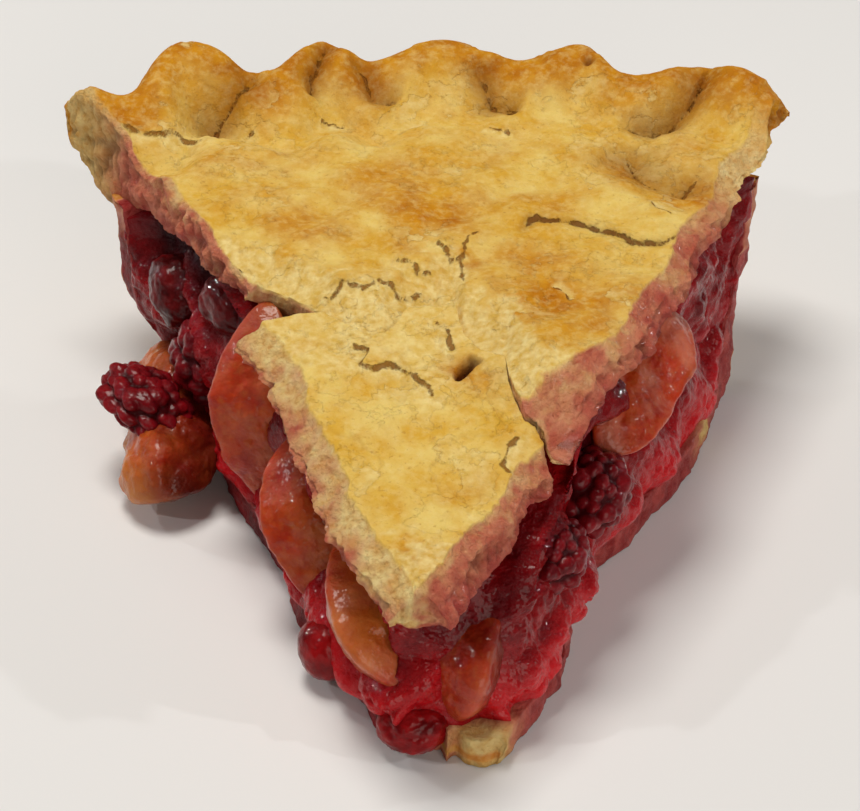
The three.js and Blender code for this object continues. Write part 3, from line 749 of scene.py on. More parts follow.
def pastry_sheet(name, nodes, across, along, deep, spec):
    """A pillow of pastry over a wedge, with rows that run outwards. Its table of edges gives

    left, right: angle of each cut along it; inner, outer: distance of the front and back edge;
    top, under: heights, and masks of the skin; flare: how far the underside spreads in front;
    ragged: depth of tears along the cuts; bevel: width and fall of the crumbled edge, left and
    right, with blunt added in front at the right; chipped: how far the front edge has crumbled;
    stain: juice at the top and the bottom of each cut, and front_soak at the front; rimmed: 1
    for a baked back edge, 0 for a torn one, which bulges by round; caps: rows round each end;
    dry: how far juice and crumb reach along the cuts, by the distance from the pie's centre.
    """
    s_top = np.linspace(0, 1, int(across * FINE) * STRIDE + 1)[None, :]
    s_low = s_top[:, ::STRIDE]
    caps = int(spec["caps"] * FINE)
    turn = np.linspace(1, 0.04, caps)
    along = int(along * FINE)
    q = np.concatenate([np.zeros(caps), np.linspace(0, 1, along), np.ones(caps)])[:, None]
    down = np.concatenate([turn, np.zeros(along), turn[::-1]])[:, None]
    outward = np.where(q > 0.5, 1.0, -1.0)

    def layer(s, lower):
        """Angle and plan of the top or the lower layer, distance from the cuts and the front."""
        guess = mix(spec["inner"](s * 20), spec["outer"](s * 20), q)
        last = spec["right"](q) + lower * np.degrees(spec["flare"] * (1 - q) / guess)
        psi = mix(spec["left"](q), last, s)
        rho = mix(spec["inner"](psi) + 0.8 * lower, spec["outer"](psi), q)
        x, y = from_apex(psi, rho, spec["apex"])
        side = np.where(s < 0.5, -1, 1)
        gap = np.minimum(psi - spec["left"](q), last - psi) * np.radians(1) * rho
        tears = fractal(xyz(x, y, 9 * lower), 2.4, 4, 0.65, 73)
        x, y = shifted(x, y, psi, side * hill(gap, 2.2) * spec["ragged"] * tears)
        return psi, x, y, gap, side, q * (rho - rho[:1])

    # Skin: it slopes down where the cuts have crumbled, and is chipped along the front edge
    psi, x, y, gap, side, behind = layer(s_top, 0)
    skin = spec["top"](x, y)
    p = xyz(x, y, 20)
    blunt = spec["blunt"] * ease(1 - q / 0.2)
    width = np.where(side < 0, spec["bevel"][0][0], spec["bevel"][1][0] + blunt)
    fall = np.where(side < 0, spec["bevel"][0][1], spec["bevel"][1][1] + 0.35 * blunt)
    bevel = np.clip(1 - (gap + 0.28 * width * fractal(p, 2.4, 4, 0.65, 74)) / width, 0, 1)
    z = skin["z"] - fall * bevel - 0.3 * ease(bevel * 9)
    z = z + 0.55 * crumbs(p, 2.6) * ease(bevel * 4)
    chips = np.clip(1 - behind / 1.8 + 1.2 * fractal(p, 2.6, 3, 0.6, 78), 0, 1)
    z = z - spec["chipped"] * chips
    psi2, x2, y2, gap2, _, _ = layer(s_low, 1)
    z2 = spec["under"](x2, y2) + 0.6 * fractal(xyz(x2, y2), 4, 4, 0.6, 75) + 1.4 * hill(gap2, 2.4)

    # Front and back: the layers close towards their middle, the rim as a round swelling
    middle = xyz(x, y, mix(z, spec["under"](x, y), 0.5))
    turned = 1 - np.sqrt(np.clip(1 - down**2, 0, 1)) if spec["round"] else down
    turned = np.where(q > 0.5, turned, down)
    swell = np.sin(down * math.pi / 2) * spec["round"] * (q > 0.5)

    def close(points, psi, target):
        """Points of a layer drawn to the middle at both ends, with crumbs on the torn ones."""
        moved = mix(points, target, turned[..., None])
        rough = 0.6 * crumbs(moved, 2.4) * ease(down * 4)
        a = np.radians(psi)
        out = outward * (swell + rough * np.where(q > 0.5, 0.3, 1.0))
        return moved + xyz(out * np.sin(a), out * np.cos(a), 0)

    upper = close(xyz(x, y, z), psi, middle)
    lower = close(xyz(x2, y2, z2), psi2, middle[:, ::STRIDE])
    lower[[0, -1]] = upper[[0, -1], ::STRIDE]
    for row in (0, -1):
        for axis in range(3):
            upper[row, :, axis] = np.interp(s_top[0], s_low[0], upper[row, ::STRIDE, axis])
    points, part, depth = pillow(upper, lower, deep)
    part, depth = part[None, :], depth[None, :]

    def spread(v):
        """A mask of the top carried over both faces and the underside."""
        v = np.broadcast_to(v, x.shape)
        return np.concatenate([v, np.repeat(v[:, -1:], deep - 1, 1), v[:, ::STRIDE][:, ::-1],
                               np.repeat(v[:, :1], deep - 1, 1)], axis=1)  # fmt: skip

    # Cut faces: crumbs are pushed out across the cut
    face = (part == 1) | (part == 3)
    sign = np.where(part == 3, -1, np.where(part == 1, 1, 0))
    ray = np.where(part == 3, psi[:, :1], psi[:, -1:])
    relief = crumbs(points)
    shape = np.interp(depth, [0, 0.06, 0.25, 0.6, 0.9, 1], [0, 0.1, -0.15, 0.25, 0.1, 0])
    push = sign * (1.1 * relief * np.sin(depth * math.pi) ** 0.4 + shape)
    points[..., 0], points[..., 1] = shifted(points[..., 0], points[..., 1], ray, push)

    # Masks: crumb where the skin is gone, stain where juice has soaked in from below
    bevelled = spread(ease(bevel * 8)) * (part == 0)
    front = (q < 0.5) * ease(down * 3)
    back = (q > 0.5) * ease(down * 3) * spec["rimmed"]
    torn_back = (q > 0.5) * ease(down * 3) * (1 - spec["rimmed"])
    crumb = np.maximum(np.maximum(bevelled, front), np.maximum(torn_back, (part > 0) * (1 - back)))
    on_left = spread(side) < 0
    lean = spread(ease((s_top - 0.5) * 5 + 0.5))
    first = mix(spec["stain"][0][0], spec["stain"][1][0], lean)
    last = mix(spec["stain"][0][1], spec["stain"][1][1], lean)
    how_deep = np.where(part == 0, 0.4 * spread(bevel), np.where(face, 0.4 + 0.6 * depth, 1))
    how_deep = mix(how_deep, spec["front_soak"], front)
    stain = mix(first, last, how_deep) + 0.55 * fractal(points, 4, 4, 0.6, 83)
    soak, skinless = spec["dry"](np.hypot(points[..., 0], points[..., 1]), on_left)
    stain, crumb = stain * soak, crumb * skinless
    wide = 2 + 5 * np.clip(fractal(points, 5, 3, 0.6, 85) + 0.4, 0, 1)
    creep = np.clip(1 - spread(gap) / wide, 0, 1)
    creep = 0.8 * creep * np.clip(first * 1.6 - 0.5, 0, 1) * (part == 0)
    stain = np.clip(np.maximum(stain * crumb, creep), 0, 1) * (1 - back)
    # painted shade in the pores of the crumb, on the cut faces and along the front
    pore_shade = ease(-relief * 1.5 - 0.15) * np.maximum(face * 1.0, 0.7 * front)
    top_only = (part == 0) * (1 - crumb)
    chipped = 0.9 * spread(ease(chips * 2))
    masks = {label: spread(skin[label]) * top_only for label in ("scorch", "flaky", "open")}
    masks |= {
        "bake": np.clip(spread(skin["bake"]), 0, 1), "crumb": crumb, "stain": stain, "jam": 0.0,
        "pale": np.maximum(spread(skin["pale"]), chipped) * top_only, "wet": 0.5 * stain,
        "hollow": np.clip(spread(skin["hollow"]) * top_only + 0.5 * pore_shade, 0, 1),
        "split": np.where(top_only > 0.02, spread(skin["split"]), 12.0),
    }  # fmt: skip
    obj = make_object(name, points, ring_faces(*points.shape[:2]), masks, PASTRY_MATERIAL)
    dress(obj, nodes)


# %% Build the lid
LID_FROM = [(0, -19.8), (0.1, -21.2), (0.6, -21.8), (0.8, -23), (1, -24.1)]
LID_TO = [(0, 19.6), (0.15, 22.2), (0.3, 24.5), (0.9, 24.5), (1, 25)]
pastry_sheet("lid_back", ["top_crust"], 64, 176, 26, {
    "left": lambda t: table(LID_FROM, t),
    "right": lambda t: table(LID_TO, t) + 0.35 * np.sin(31 * t),
    "inner": break_line,
    "outer": lambda psi: reach(psi, rim_edge),
    "top": lid_top, "under": lid_under, "flare": 2.0, "apex": APEX, "caps": 12, "round": 1.6,
    "ragged": 0.9, "bevel": ((0.9, 0.4), (2.6, 1.5)), "stain": ((0.25, 0.7), (0.35, 0.8)),
    "blunt": 4.0, "chipped": 0.8, "front_soak": -0.3, "rimmed": 1.0,
    # At the rim the cuts are dry, and at the right one the skin even folds over the crumb
    "dry": lambda r, left: (ease(np.where(left, (114 - r) / 14, (100 - r) / 22)),
                            ease(np.where(left, 2.0, (112 - r) / 10))),
})  # fmt: skip

# %% [markdown]
# ## The broken front piece of the lid
#
# It has its own rays, because both its sides run to a point near the tip. It tilts forward, has
# a knife slit that let steam out, and wears dough underneath that the juice kept soft.

# %% Heights of the front piece
FLAP_FLAKES = [
    ([(-15.3, 47.7), (-14.4, 45.8), (-12.8, 44.8), (-13.2, 41.4), (-11.6, 40.7), (-9, 41.5),
      (-6.9, 40), (-5.3, 37.8), (-3.5, 35.6), (0.4, 35.7)], 0.7),
    ([(-4.1, 51.1), (-2.2, 48.8), (-1.7, 45.9), (-0.5, 44.6)], 0.6),
    ([(5.4, 22), (3.8, 24), (5.2, 27), (7, 29)], 0.4),
]  # fmt: skip
VENT = [(-1.2, 38.4), (-0.3, 40.4), (1, 42), (2, 43.2)]
FLAP_PATCHES = [
    (-21.5, 45, 3, 0.7), (-8.3, 7, 3.5, 0.95), (0, 21, 5, 0.35), (6.3, 28.5, 4, 0.4),
    (-12, 26, 5, 0.25), (-3.6, 32, 4, 0.3), (-1, 42.5, 3, 0.8), (2, 40, 3, 0.6),
]  # fmt: skip


def flap_under(x, y):
    """Underside of the front piece, thick with stuck dough towards the tip."""
    thick = PASTRY + 1.6 * ease((44 - y) / 30) * mix(0.35, 1, ease((x + 15) / 7))
    return 29.1 + 0.149 * (y - 3) - thick + 0.4 * wave(x, y, 0, 8)


def flap_top(x, y):
    """Height and masks of the front piece: a tilted plane with a slit, flakes and wrinkles."""
    p = xyz(x, y, 40)
    wx, wy = x + 0.8 * fractal(p, 3.2, 3, 0.6, 15), y + 0.8 * fractal(p, 3.2, 3, 0.6, 19)
    z = 29.1 + 0.149 * (y - 3) + 0.35 * wave(x, y, 0, 7)
    z += 1.2 * ease((x + 2) / 8) * ease((y - 22) / 15)
    slit, d, _ = groove(wx, wy, VENT, 0.75)
    z += 0.4 * hill(np.abs(d) - 1.6, 1.0) * ease(slit * 9 + 0.2) - 2.0 * slit
    lift, bare = lifted(wx, wy, FLAP_FLAKES)
    split, opened = splits(wx, wy, (lines_of(FLAP_FLAKES), 0.4))
    step, step_edge = terraces(p, 8, 33)
    blister = np.clip(fractal(p, 6, 3, 0.5, 23) - 0.15, 0, 1)
    z += 0.6 * lift + 0.22 * step
    z += 0.45 * blister + 0.3 * fractal(p, 2.8, 4, 0.6, 47)
    bake = bake_of(x, y, 60, FLAP_PATCHES) + 0.2 * blister - 0.12
    pale = np.clip(bare + ease((y - 38) / 6 + 2 * fractal(p, 5, 3, 0.5, 48)) * 0.6, 0, 1)
    # darker round the slit, and painted shade along the layer steps
    scorch = 0.12 * step_edge + 0.4 * groove(wx, wy, VENT, 1.6)[0]
    # painted shade in the slit
    hollow = slit
    flaky = np.clip(0.45 + 0.5 * ease((y - 36) / 8) + 0.4 * fractal(p, 12, 2, 0.5, 49), 0, 1)
    return {"z": z, "bake": bake, "pale": pale, "hollow": hollow,
            "scorch": np.clip(scorch, 0, 1), "flaky": flaky, "split": split, "open": opened}


def flap_back(psi):
    """Distance from the front piece's apex to the break, less the width of the crack."""
    rho = np.full(np.shape(psi), 60.0)
    for _ in range(12):
        x, y = from_apex(psi, rho, FLAP_APEX)
        at, reach_now = to_apex(x, y)
        crack = table([(-16, 0.5), (-12, 0.1), (0, 0.05), (4, 0.2), (14, 0.35)], at)
        limit = np.minimum(break_line(at) - crack, 64.6)
        rho = np.maximum(14.0, rho + 0.7 * (limit - reach_now))
    return rho


pastry_sheet("lid_front_piece", ["crust_flap"], 50, 200, 26, {
    "left": lambda t: mix(-31, -22, ease(t * 1.3)) + 0.8 * np.sin(17 * t),
    "right": lambda t: mix(38, 34.5, t) + 1.3 * np.sin(14 * t),
    "inner": lambda psi: 3.6 + 1.4 * np.clip(psi / 30, 0, 1),
    "outer": flap_back,
    "top": flap_top, "under": flap_under, "flare": 1.5, "apex": FLAP_APEX, "caps": 20, "round": 0,
    "ragged": 0.8, "bevel": ((3.4, 2.3), (2.4, 1.6)), "stain": ((0.0, 0.55), (0.35, 0.8)),
    "dry": lambda r, left: (1.0, 1.0), "blunt": 0.0, "chipped": 0.0,
    "front_soak": 0.1, "rimmed": 0.0,
})  # fmt: skip

# %% [markdown]
# ## Base and wall
#
# The base pastry is one sheet that bends up at the rim. Its cuts have drunk juice and slumped,
# so its edge is ragged and red, and only small spots are still the colour of pastry.

# %% Build the base
def left_at(rho, z):
    """Angle of the left cut at a distance from the apex and a height."""
    return mix(table(FOOT_LEFT, rho), CUT_LEFT, ease((z - 2) / 14))


def right_at(rho, z):
    """Angle of the right cut at a distance from the apex and a height."""
    return mix(table(FOOT_RIGHT, rho), CUT_RIGHT, ease((z - 3) / 9))


def wall_outside(z):
    """Radius of the wall's outside about the pie's centre."""
    return table([(0, 96.6), (8, 99.4), (22, 104.2), (33, 107)], z)


def wall_inside(z):
    """Radius of the wall's inside: the outside less the pastry."""
    return wall_outside(z) - table([(4, 7.5), (12, 5.2), (33, 4.6)], z)


def tip_distance(psi):
    """Distance from the apex to the blunt tip of the base."""
    return 15.4 + 1.2 * wave(psi * 0.9, 3) + 3.2 * ease((-1 - psi) / 3)


def base_sheet():
    """The base as a pillow: inner surface out to the wall and up, outer surface below it."""
    across, flat, up = int(150 * FINE), int(130 * FINE), int(60 * FINE)
    s = np.linspace(0, 1, across)[None, :]
    psi0 = mix(CUT_LEFT, CUT_RIGHT, s)
    top_z = mix(29, 32.4, ease((psi0 + 23) / 30)) - 0.5
    t = np.linspace(0, 1, flat)[:, None]
    v = np.linspace(0, 1, up)[:, None]
    corner_in = reach(psi0, lambda phi: wall_inside(5.0))
    corner_out = reach(psi0, lambda phi: wall_outside(0.0))
    rho_in = mix(tip_distance(psi0), corner_in, t)
    rho_out = mix(tip_distance(psi0), corner_out, t)
    z_in = np.broadcast_to(BASE + 0.35 * wave(rho_in, psi0, 0, 2), rho_in.shape)
    rise_in = mix(5.0, top_z, v)
    rise_out = mix(0.0, top_z, v)
    wall_in = corner_in + wall_inside(rise_in) - wall_inside(5.0)
    wall_out = corner_out + wall_outside(rise_out) - wall_outside(0.0)
    # Both surfaces meet in front at half the thickness, and on the wall at its middle
    ends = np.linspace(0, 1, 5)[:-1, None]
    tip_in = (tip_distance(psi0) + 0 * ends, mix(BASE / 2, BASE, ends) + 0 * psi0)
    tip_out = (tip_distance(psi0) + 0 * ends, mix(BASE / 2, 0.0, ends) + 0 * psi0)
    close = np.linspace(0, 1, 5)[1:, None]
    end_in = (mix(wall_in[-1:], (wall_in[-1:] + wall_out[-1:]) / 2, close), top_z + 0 * close)
    end_out = (mix(wall_out[-1:], (wall_in[-1:] + wall_out[-1:]) / 2, close), top_z + 0 * close)
    inner = [np.concatenate(c) for c in zip(tip_in, (rho_in, z_in), (wall_in, rise_in), end_in)]
    outer = [np.concatenate(c) for c in zip(tip_out, (rho_out, 0 * rho_out), (wall_out, rise_out),
                                            end_out)]  # fmt: skip
    grids = []
    for rho, z in (inner, outer):
        psi = mix(left_at(rho, z), right_at(rho, z), s)
        x, y = from_apex(psi, rho)
        p = xyz(x, y, z)
        rough = 0.35 * fractal(p, 3, 4, 0.6, 91)
        side = np.where(s < 0.5, -1, 1) * (np.abs(s - 0.5) * 2) ** 8
        x, y = shifted(x, y, psi, side * 0.9 * fractal(p, 4, 4, 0.65, 92), rough * (z > 6))
        y = y + 0.6 * fractal(p, 2.5, 3, 0.6, 93) * (rho < 22)
        grids.append(xyz(x, y, np.maximum(z, 0.0)))
    points, part, depth = pillow(grids[0], grids[1], 12)
    face = np.isin(part, (1, 3))[None, :]
    sign = np.where(part == 3, -1, np.where(part == 1, 1, 0))[None, :]
    psi, rho = to_apex(points[..., 0], points[..., 1])
    relief = 0.8 * fractal(points, 2.4, 4, 0.6, 94) + 0.5 * np.abs(fractal(points, 5, 2, 0.5, 95))
    push = sign * relief * np.sin(depth * math.pi) ** 0.5
    points[..., 0], points[..., 1] = shifted(points[..., 0], points[..., 1], psi, push)
    z = points[..., 2]
    pale_tip = hill(np.hypot(points[..., 0] - 1.5, points[..., 1] - 3.5), 5.2)
    pale_side = hill(np.hypot(rho - 93, (z - 3) * 1.5), 4.5) * (psi > 10)
    dry = np.clip(pale_tip * 1.25 + pale_side, 0, 1)
    outside = (part == 2)[None, :] * (z > 1)
    dry = np.clip(dry + 0.25 * fractal(points, 3, 3, 0.6, 99) * (dry > 0.1), 0, 1)
    stain = np.where(outside, 0.12, np.clip(0.98 - 1.1 * dry, 0, 1))
    stain = np.where(face & (z > 22), 0.45 + 0.4 * fractal(points, 4, 3, 0.6, 96), stain)
    # hollow is painted shade in the pores of the cut faces
    masks = {
        "bake": np.clip(0.75 + 0.3 * fractal(points, 8, 4, 0.6, 97), 0, 1) + 0 * z,
        "crumb": np.where(outside, 0.0, 1.0), "stain": np.clip(stain, 0, 1),
        "wet": np.where(outside, 0.0, 0.55 * (1 - dry)), "hollow": 0.35 * face * ease(-relief),
        "scorch": np.where(outside, 0.25 * ease(fractal(points, 9, 3, 0.5, 98) * 2), 0.0),
        "jam": np.where(face & (psi < 0), 0.9 * ease((27 - z) / 4), 0.0), "pale": 0.0,
        "flaky": 0.0, "split": 12.0, "open": 0.0,
    }  # fmt: skip
    obj = make_object("base_and_wall", points, ring_faces(*points.shape[:2]), masks, PASTRY_MATERIAL)
    dress(obj, ["bottom_crust"])


base_sheet()

# %% [markdown]
# ## The filling
#
# What shows at the two cuts is torn, not sliced: lumps of soft fruit stand out, juice hangs
# between them, and hollows are painted nearly black as shade. Each cut is a surface over
# distance and height that is pushed in and out along its own normal.

# %% Relief of the two cuts
# Distances u run from the apex along the cut, heights z from the table.
def bulge_left(u, z):
    """How far the left face stands out of the cut in millimetres: waves, a hollow, a foot."""
    return (
        1.6 * wave(u, z * 1.4, 0, 3) - 2.4 - 3.2 * ease((z - 20) / 8) * ease((u - 52) / 10)
        + 3.2 * hill(z - 6, 4) + 1.6 * hill(u - 30, 9) - 2.5 * ease((z - 8) / 4) * ease((38 - u) / 8)
    )  # fmt: skip


def bulge_right(u, z):
    """How far the right face stands out of the cut: a dark hollow and a slope to the foot."""
    return (
        1.5 * wave(u, z * 1.3, 0, 9) - 1.6 + 2.2 * hill(z - 9, 5)
        - 4.2 * np.exp(-(((u - 49) / 6) ** 2) - ((z - 23) / 4.5) ** 2)
        - 2.2 * ease((40 - u) / 20) * ease((z - 12) / 8) - 2.5 * ease((z - 27) / 4)
    )  # fmt: skip


def torn(p):
    """Fine relief of torn fruit in millimetres: soft lumps, seedy clusters and strands."""
    near, which = cells(p * [1, 1, 1.25], 7.5, 101)
    lump = 1.3 * (1 - np.clip(near * 1.5, 0, 1) ** 2) * (0.4 + 0.9 * which)
    cluster = ease(fractal(p, 13, 2, 0.5, 102) * 3 + 0.15)
    bead, bead_id = cells(p, 2.3, 103)
    seedy = (0.55 + 0.3 * bead_id) * np.sqrt(np.clip(1 - (bead * 1.35) ** 2, 0, 1)) * cluster
    strands = 0.35 * np.abs(fractal(p * [1, 1, 2.2], 3.4, 4, 0.6, 104))
    fine = 0.5 * fractal(p, 4, 4, 0.6, 105) + 0.45 * fractal(p, 1.8, 3, 0.6, 106)
    return lump + seedy - strands + fine


def filling_top(x, y):
    """Top of the filling: close under the lid, and under the sunken piece in front."""
    at, rho = to_apex(x, y)
    edge = rho - table(BREAK, at)
    low = np.minimum(lid_under(x, y), flap_under(x, y)) - 0.5
    high = lid_under(x, y) - 0.6
    return np.minimum(high, mix(low, high, ease((edge - 1) / 5)))


def filling_body():
    """Rings step from the tip to the wall: up the left cut, over, down the right, and back.

    Each ring lies on both cuts and is pushed out by bulge_left or bulge_right and torn(). In
    front a cap closes the first ring: its rough outline fades into a smooth one, made of the
    ring's seven slowest waves, on the way to the middle.
    """
    steps, climb, over = int(330 * FINE), int(105 * FINE), 18
    low = BASE - 0.4
    # t runs from tip to wall, i from the base up to the lid, s from the left cut to the right
    t = np.linspace(0, 1, steps)[:, None]
    i = np.concatenate([np.linspace(0, 1, climb), np.ones(over), np.linspace(1, 0, climb),
                        np.zeros(over)])[None, :]  # fmt: skip
    s = np.concatenate([np.zeros(climb), np.linspace(0, 1, over + 2)[1:-1], np.ones(climb),
                        np.linspace(1, 0, over + 2)[1:-1]])[None, :]  # fmt: skip
    side = np.concatenate([-np.ones(climb), np.zeros(over), np.ones(climb), np.zeros(over)])[None]
    about = mix(CUT_LEFT, CUT_RIGHT, s)

    def place(z):
        """Plan, angle, distance and bulge of the ring's points at their heights."""
        wall = reach(about + 0 * z, lambda phi: wall_inside(np.maximum(z, 5)) + 0.8)
        front = 17.0 + 2.5 * ease((about - 4) / 8) + 0.4 * np.maximum(0, z - 5)
        u = mix(front, wall, t)
        psi = mix(left_at(u, z), right_at(u, z), s)
        out = np.where(side < 0, bulge_left(u, z), bulge_right(u, z)) * np.abs(side)
        out = out * ease(t * 12 + 0.3) * ease((1 - t) * 14)
        x, y = shifted(*from_apex(psi, u), psi, side * out)
        return x, y, psi, u, out

    x, y, *_ = place(np.full((steps, i.size), low + 14.0))
    z = mix(low, filling_top(x, y), i)
    x, y, psi, u, out = place(z)
    p = xyz(x, y, z)
    relief = torn(p)
    fade = np.clip(i * 12, 0, 1) * np.clip((1 - i) * 7, 0, 1)
    push = side * fade * (relief - 0.5)
    tip = ease(1 - t * 14) * (relief - 0.5) * fade
    x = x + push * np.cos(np.radians(psi)) + tip * np.sin(np.radians(psi))
    y = y - push * np.sin(np.radians(psi)) - tip * np.cos(np.radians(psi))
    points = xyz(x, y, z)

    # The cap in front
    ring = points[:1]
    waves = np.fft.rfft(ring, axis=1)
    waves[:, 8:] = 0
    smooth = np.fft.irfft(waves, ring.shape[1], axis=1)
    middle = ring.mean(1, keepdims=True)
    k = np.linspace(0, 1, int(44 * FINE) + 1)[:-1, None, None]
    cap = middle + (smooth - middle) * k + (ring - smooth) * k**8
    dome = np.sqrt(np.clip(1 - k[..., 0] ** 2, 0, 1))
    cap[..., 1] -= dome * (0.7 + torn(cap) - 0.5)
    last = points[-1:].mean(1, keepdims=True) + 0 * points[-1:]

    # Masks: deep is painted shade in hollows and under the lid; thin is brighter red at the foot
    # and, as painted light, where the face stands out; the foot is cloudy
    total = out + relief
    foot = ease((13 - z) / 8)
    shade_under_lid = ease((z - filling_top(x, y) + 6) / 6)
    deep = np.clip(0.9 * ease((-total - 1.6) / 3.4) + 0.4 * shade_under_lid - 0.5 * foot, 0, 1)
    streak = fractal(p * [1, 1, 2.2], 8, 3, 0.5, 107)
    smear = ease(streak * 2.4 - 0.3) * 0.45 + 0.6 * foot * ease(fractal(p, 9, 3, 0.5, 108) * 2)
    thread = hill(along_line(u, z, [(103, 17), (92, 13), (86, 8), (78, 8)])[0], 0.9) * (side > 0)
    smear = np.clip(smear * (0.4 + 0.6 * ease((u - 20) / 20)) + thread, 0, 1) * (1 - 0.8 * deep)
    thin = 0.35 * ease(total / 2) + 0.8 * foot * mix(0.45, 1.0, ease(side)) + 0.25 * streak
    thin = np.clip(thin, 0, 1)
    masks = {"deep": deep, "smear": smear, "thin": thin}
    rows = len(cap)
    masks = {k: np.concatenate([np.repeat(v[:1], rows, 0), v, v[-1:]]) for k, v in masks.items()}
    points = np.concatenate([cap, points, last])
    obj = make_object("fruit_filling", points, ring_faces(*points.shape[:2]), masks, JUICE)
    dress(obj, ["filling"])


filling_body()

# %% [markdown]
# ## Pieces of fruit
#
# A peach slice is a crescent with a rounded skin side and two cut faces that meet in a ridge.
# Its flesh is stringy along its length. A raspberry is a hollow cap of small round drupelets.

# %% Peach slices
def peach_slice(name, a, b, bow, out, width, depth, belly=0.0, ridge=0.25, dyed_and_shaded=(0.2, 0.8),
                pale=0.2, corners=3.2, lumps=1.0, dark=(99.0, 1.0)):  # fmt: skip
    """A bent spine from a to b with rounded triangular sections; swelling follows an arch.

    out is the direction of its skin side, width and depth its half sizes across and along that,
    dyed_and_shaded the share of juice dye, with painted shade, from one side to the other, and dark
    where painted shade begins, in x.
    """
    a, b, out = (np.array(v, float) for v in (a, b, out))
    axis = (b - a) / np.linalg.norm(b - a)
    facing = out - (out @ axis) * axis
    facing /= np.linalg.norm(facing)
    across = np.cross(axis, facing)
    rows, columns = int(110 * FINE), int(120 * FINE)
    t = np.linspace(0, 1, rows)[:, None, None]
    angle = np.linspace(0, 2 * math.pi, columns, endpoint=False)[None, :, None]
    swell = np.clip(1 - (2 * t - 1) ** 2, 0, 1) ** 0.5
    swell = np.clip(swell, 0, 1) * (0.9 + 0.1 * np.cos(7 * t + a[0]))
    centre = a + axis * np.linalg.norm(b - a) * t
    centre = centre + (bow * across + belly * facing) * np.sin(math.pi * t)
    third = 2 * math.pi / 3
    sides = sum(
        np.clip(np.cos(angle - (math.pi / 3 + k * third)) / 0.72, 0, None) ** (2 * corners)
        for k in range(3)
    ) ** (-1 / (2 * corners))
    shape = mix(np.minimum(sides, 1.35), 1.0, 0.2)
    ring = facing * depth * (1 + ridge * 0.4) * np.cos(angle) + across * width * np.sin(angle)
    p = centre + swell * shape * ring
    outward = ring / np.linalg.norm(ring, axis=-1, keepdims=True)
    u = np.broadcast_to(t[..., 0], p.shape[:2])
    strands = xyz(u * 6, np.sin(angle[..., 0]) * 9, np.cos(angle[..., 0]) * 9)
    fibre = fractal(strands, 2.2, 4, 0.65, 111)
    soft = 1.1 * fractal(p, 7, 3, 0.5, 112) + 0.06 * fibre + 0.4 * fractal(p, 2.4, 4, 0.6, 113)
    soft = soft * lumps
    p = p + outward * (soft * np.clip(swell[..., 0] * 1.5, 0, 1))[..., None]
    low, high = dyed_and_shaded
    # painted shade: the slice is darker red on one side, by the angle round it
    light = np.cos(angle[..., 0] + 0.9) * 0.5 + 0.5
    dye_and_shade = mix(low, high, light) + 0.5 * fractal(p, 7, 3, 0.55, 114)
    # deep: painted shade past x = dark[0], and darker at both ends
    masks = {
        "dyed_and_shaded": np.clip(dye_and_shade, 0, 1),
        "pale": np.clip(pale * (2.0 * fractal(p * [1, 1, 0.5], 4, 4, 0.6, 115) + 0.35), 0, 0.8),
        "deep": np.clip(0.35 * ease(np.abs(2 * u - 1) * 3 - 2.2) + 0.8 * ease(
            (p[..., 0] - dark[0]) / dark[1] + 0.6 * fractal(p, 5, 3, 0.5, 116)), 0, 1),
    }  # fmt: skip
    obj = make_object(name, p, ring_faces(rows, columns), masks, PEACH)
    dress(obj, [name])


OUT_LEFT, OUT_RIGHT = (-0.92, -0.39, 0.1), (0.91, -0.41, 0.05)
peach_slice("peach_tall", (-23.2, 50.5, 5.8), (-25.4, 59, 33.6), 1, OUT_LEFT, 6.6, 5, 3.4,
            dyed_and_shaded=(0.45, 1.0), dark=(-25.5, 4), pale=0.3)  # fmt: skip
peach_slice("peach_left_front", (-16.6, 30, 5.4), (-21.4, 43.5, 23), 0.6, OUT_LEFT, 6.2, 5, 1.6,
            dyed_and_shaded=(0.5, 1.0), pale=0.25)  # fmt: skip
peach_slice("peach_tip", (-3.6, 8.2, 5.2), (-15, 28.8, 17.6), 0.4, (-0.75, -0.4, 0.5), 7.8, 6.4,
            2.4, dyed_and_shaded=(0.0, 0.6), pale=0.25, corners=4.5)  # fmt: skip
peach_slice("peach_tip_right", (-2.4, 9, 3.6), (3.2, 15.4, 18), -0.8, (0.2, -0.95, 0.2), 6.6, 5,
            0.6, dyed_and_shaded=(0.9, 1.0), pale=0.25, dark=(-2.5, 10))  # fmt: skip
peach_slice("peach_right", (18.4, 40.6, 22), (29.8, 61.5, 30.6), 1, OUT_RIGHT, 6, 4.8, 1,
            dyed_and_shaded=(0.55, 0.9), pale=0.9)  # fmt: skip
peach_slice("peach_spilled", (-38.6, 84, 8), (-39.8, 52.4, 5.6), -0.8, (-0.2, 0, 1), 9.2, 6.4,
            dyed_and_shaded=(0.0, 0.7), corners=1.2, lumps=1.9, dark=(-42, 6), pale=0.1)  # fmt: skip


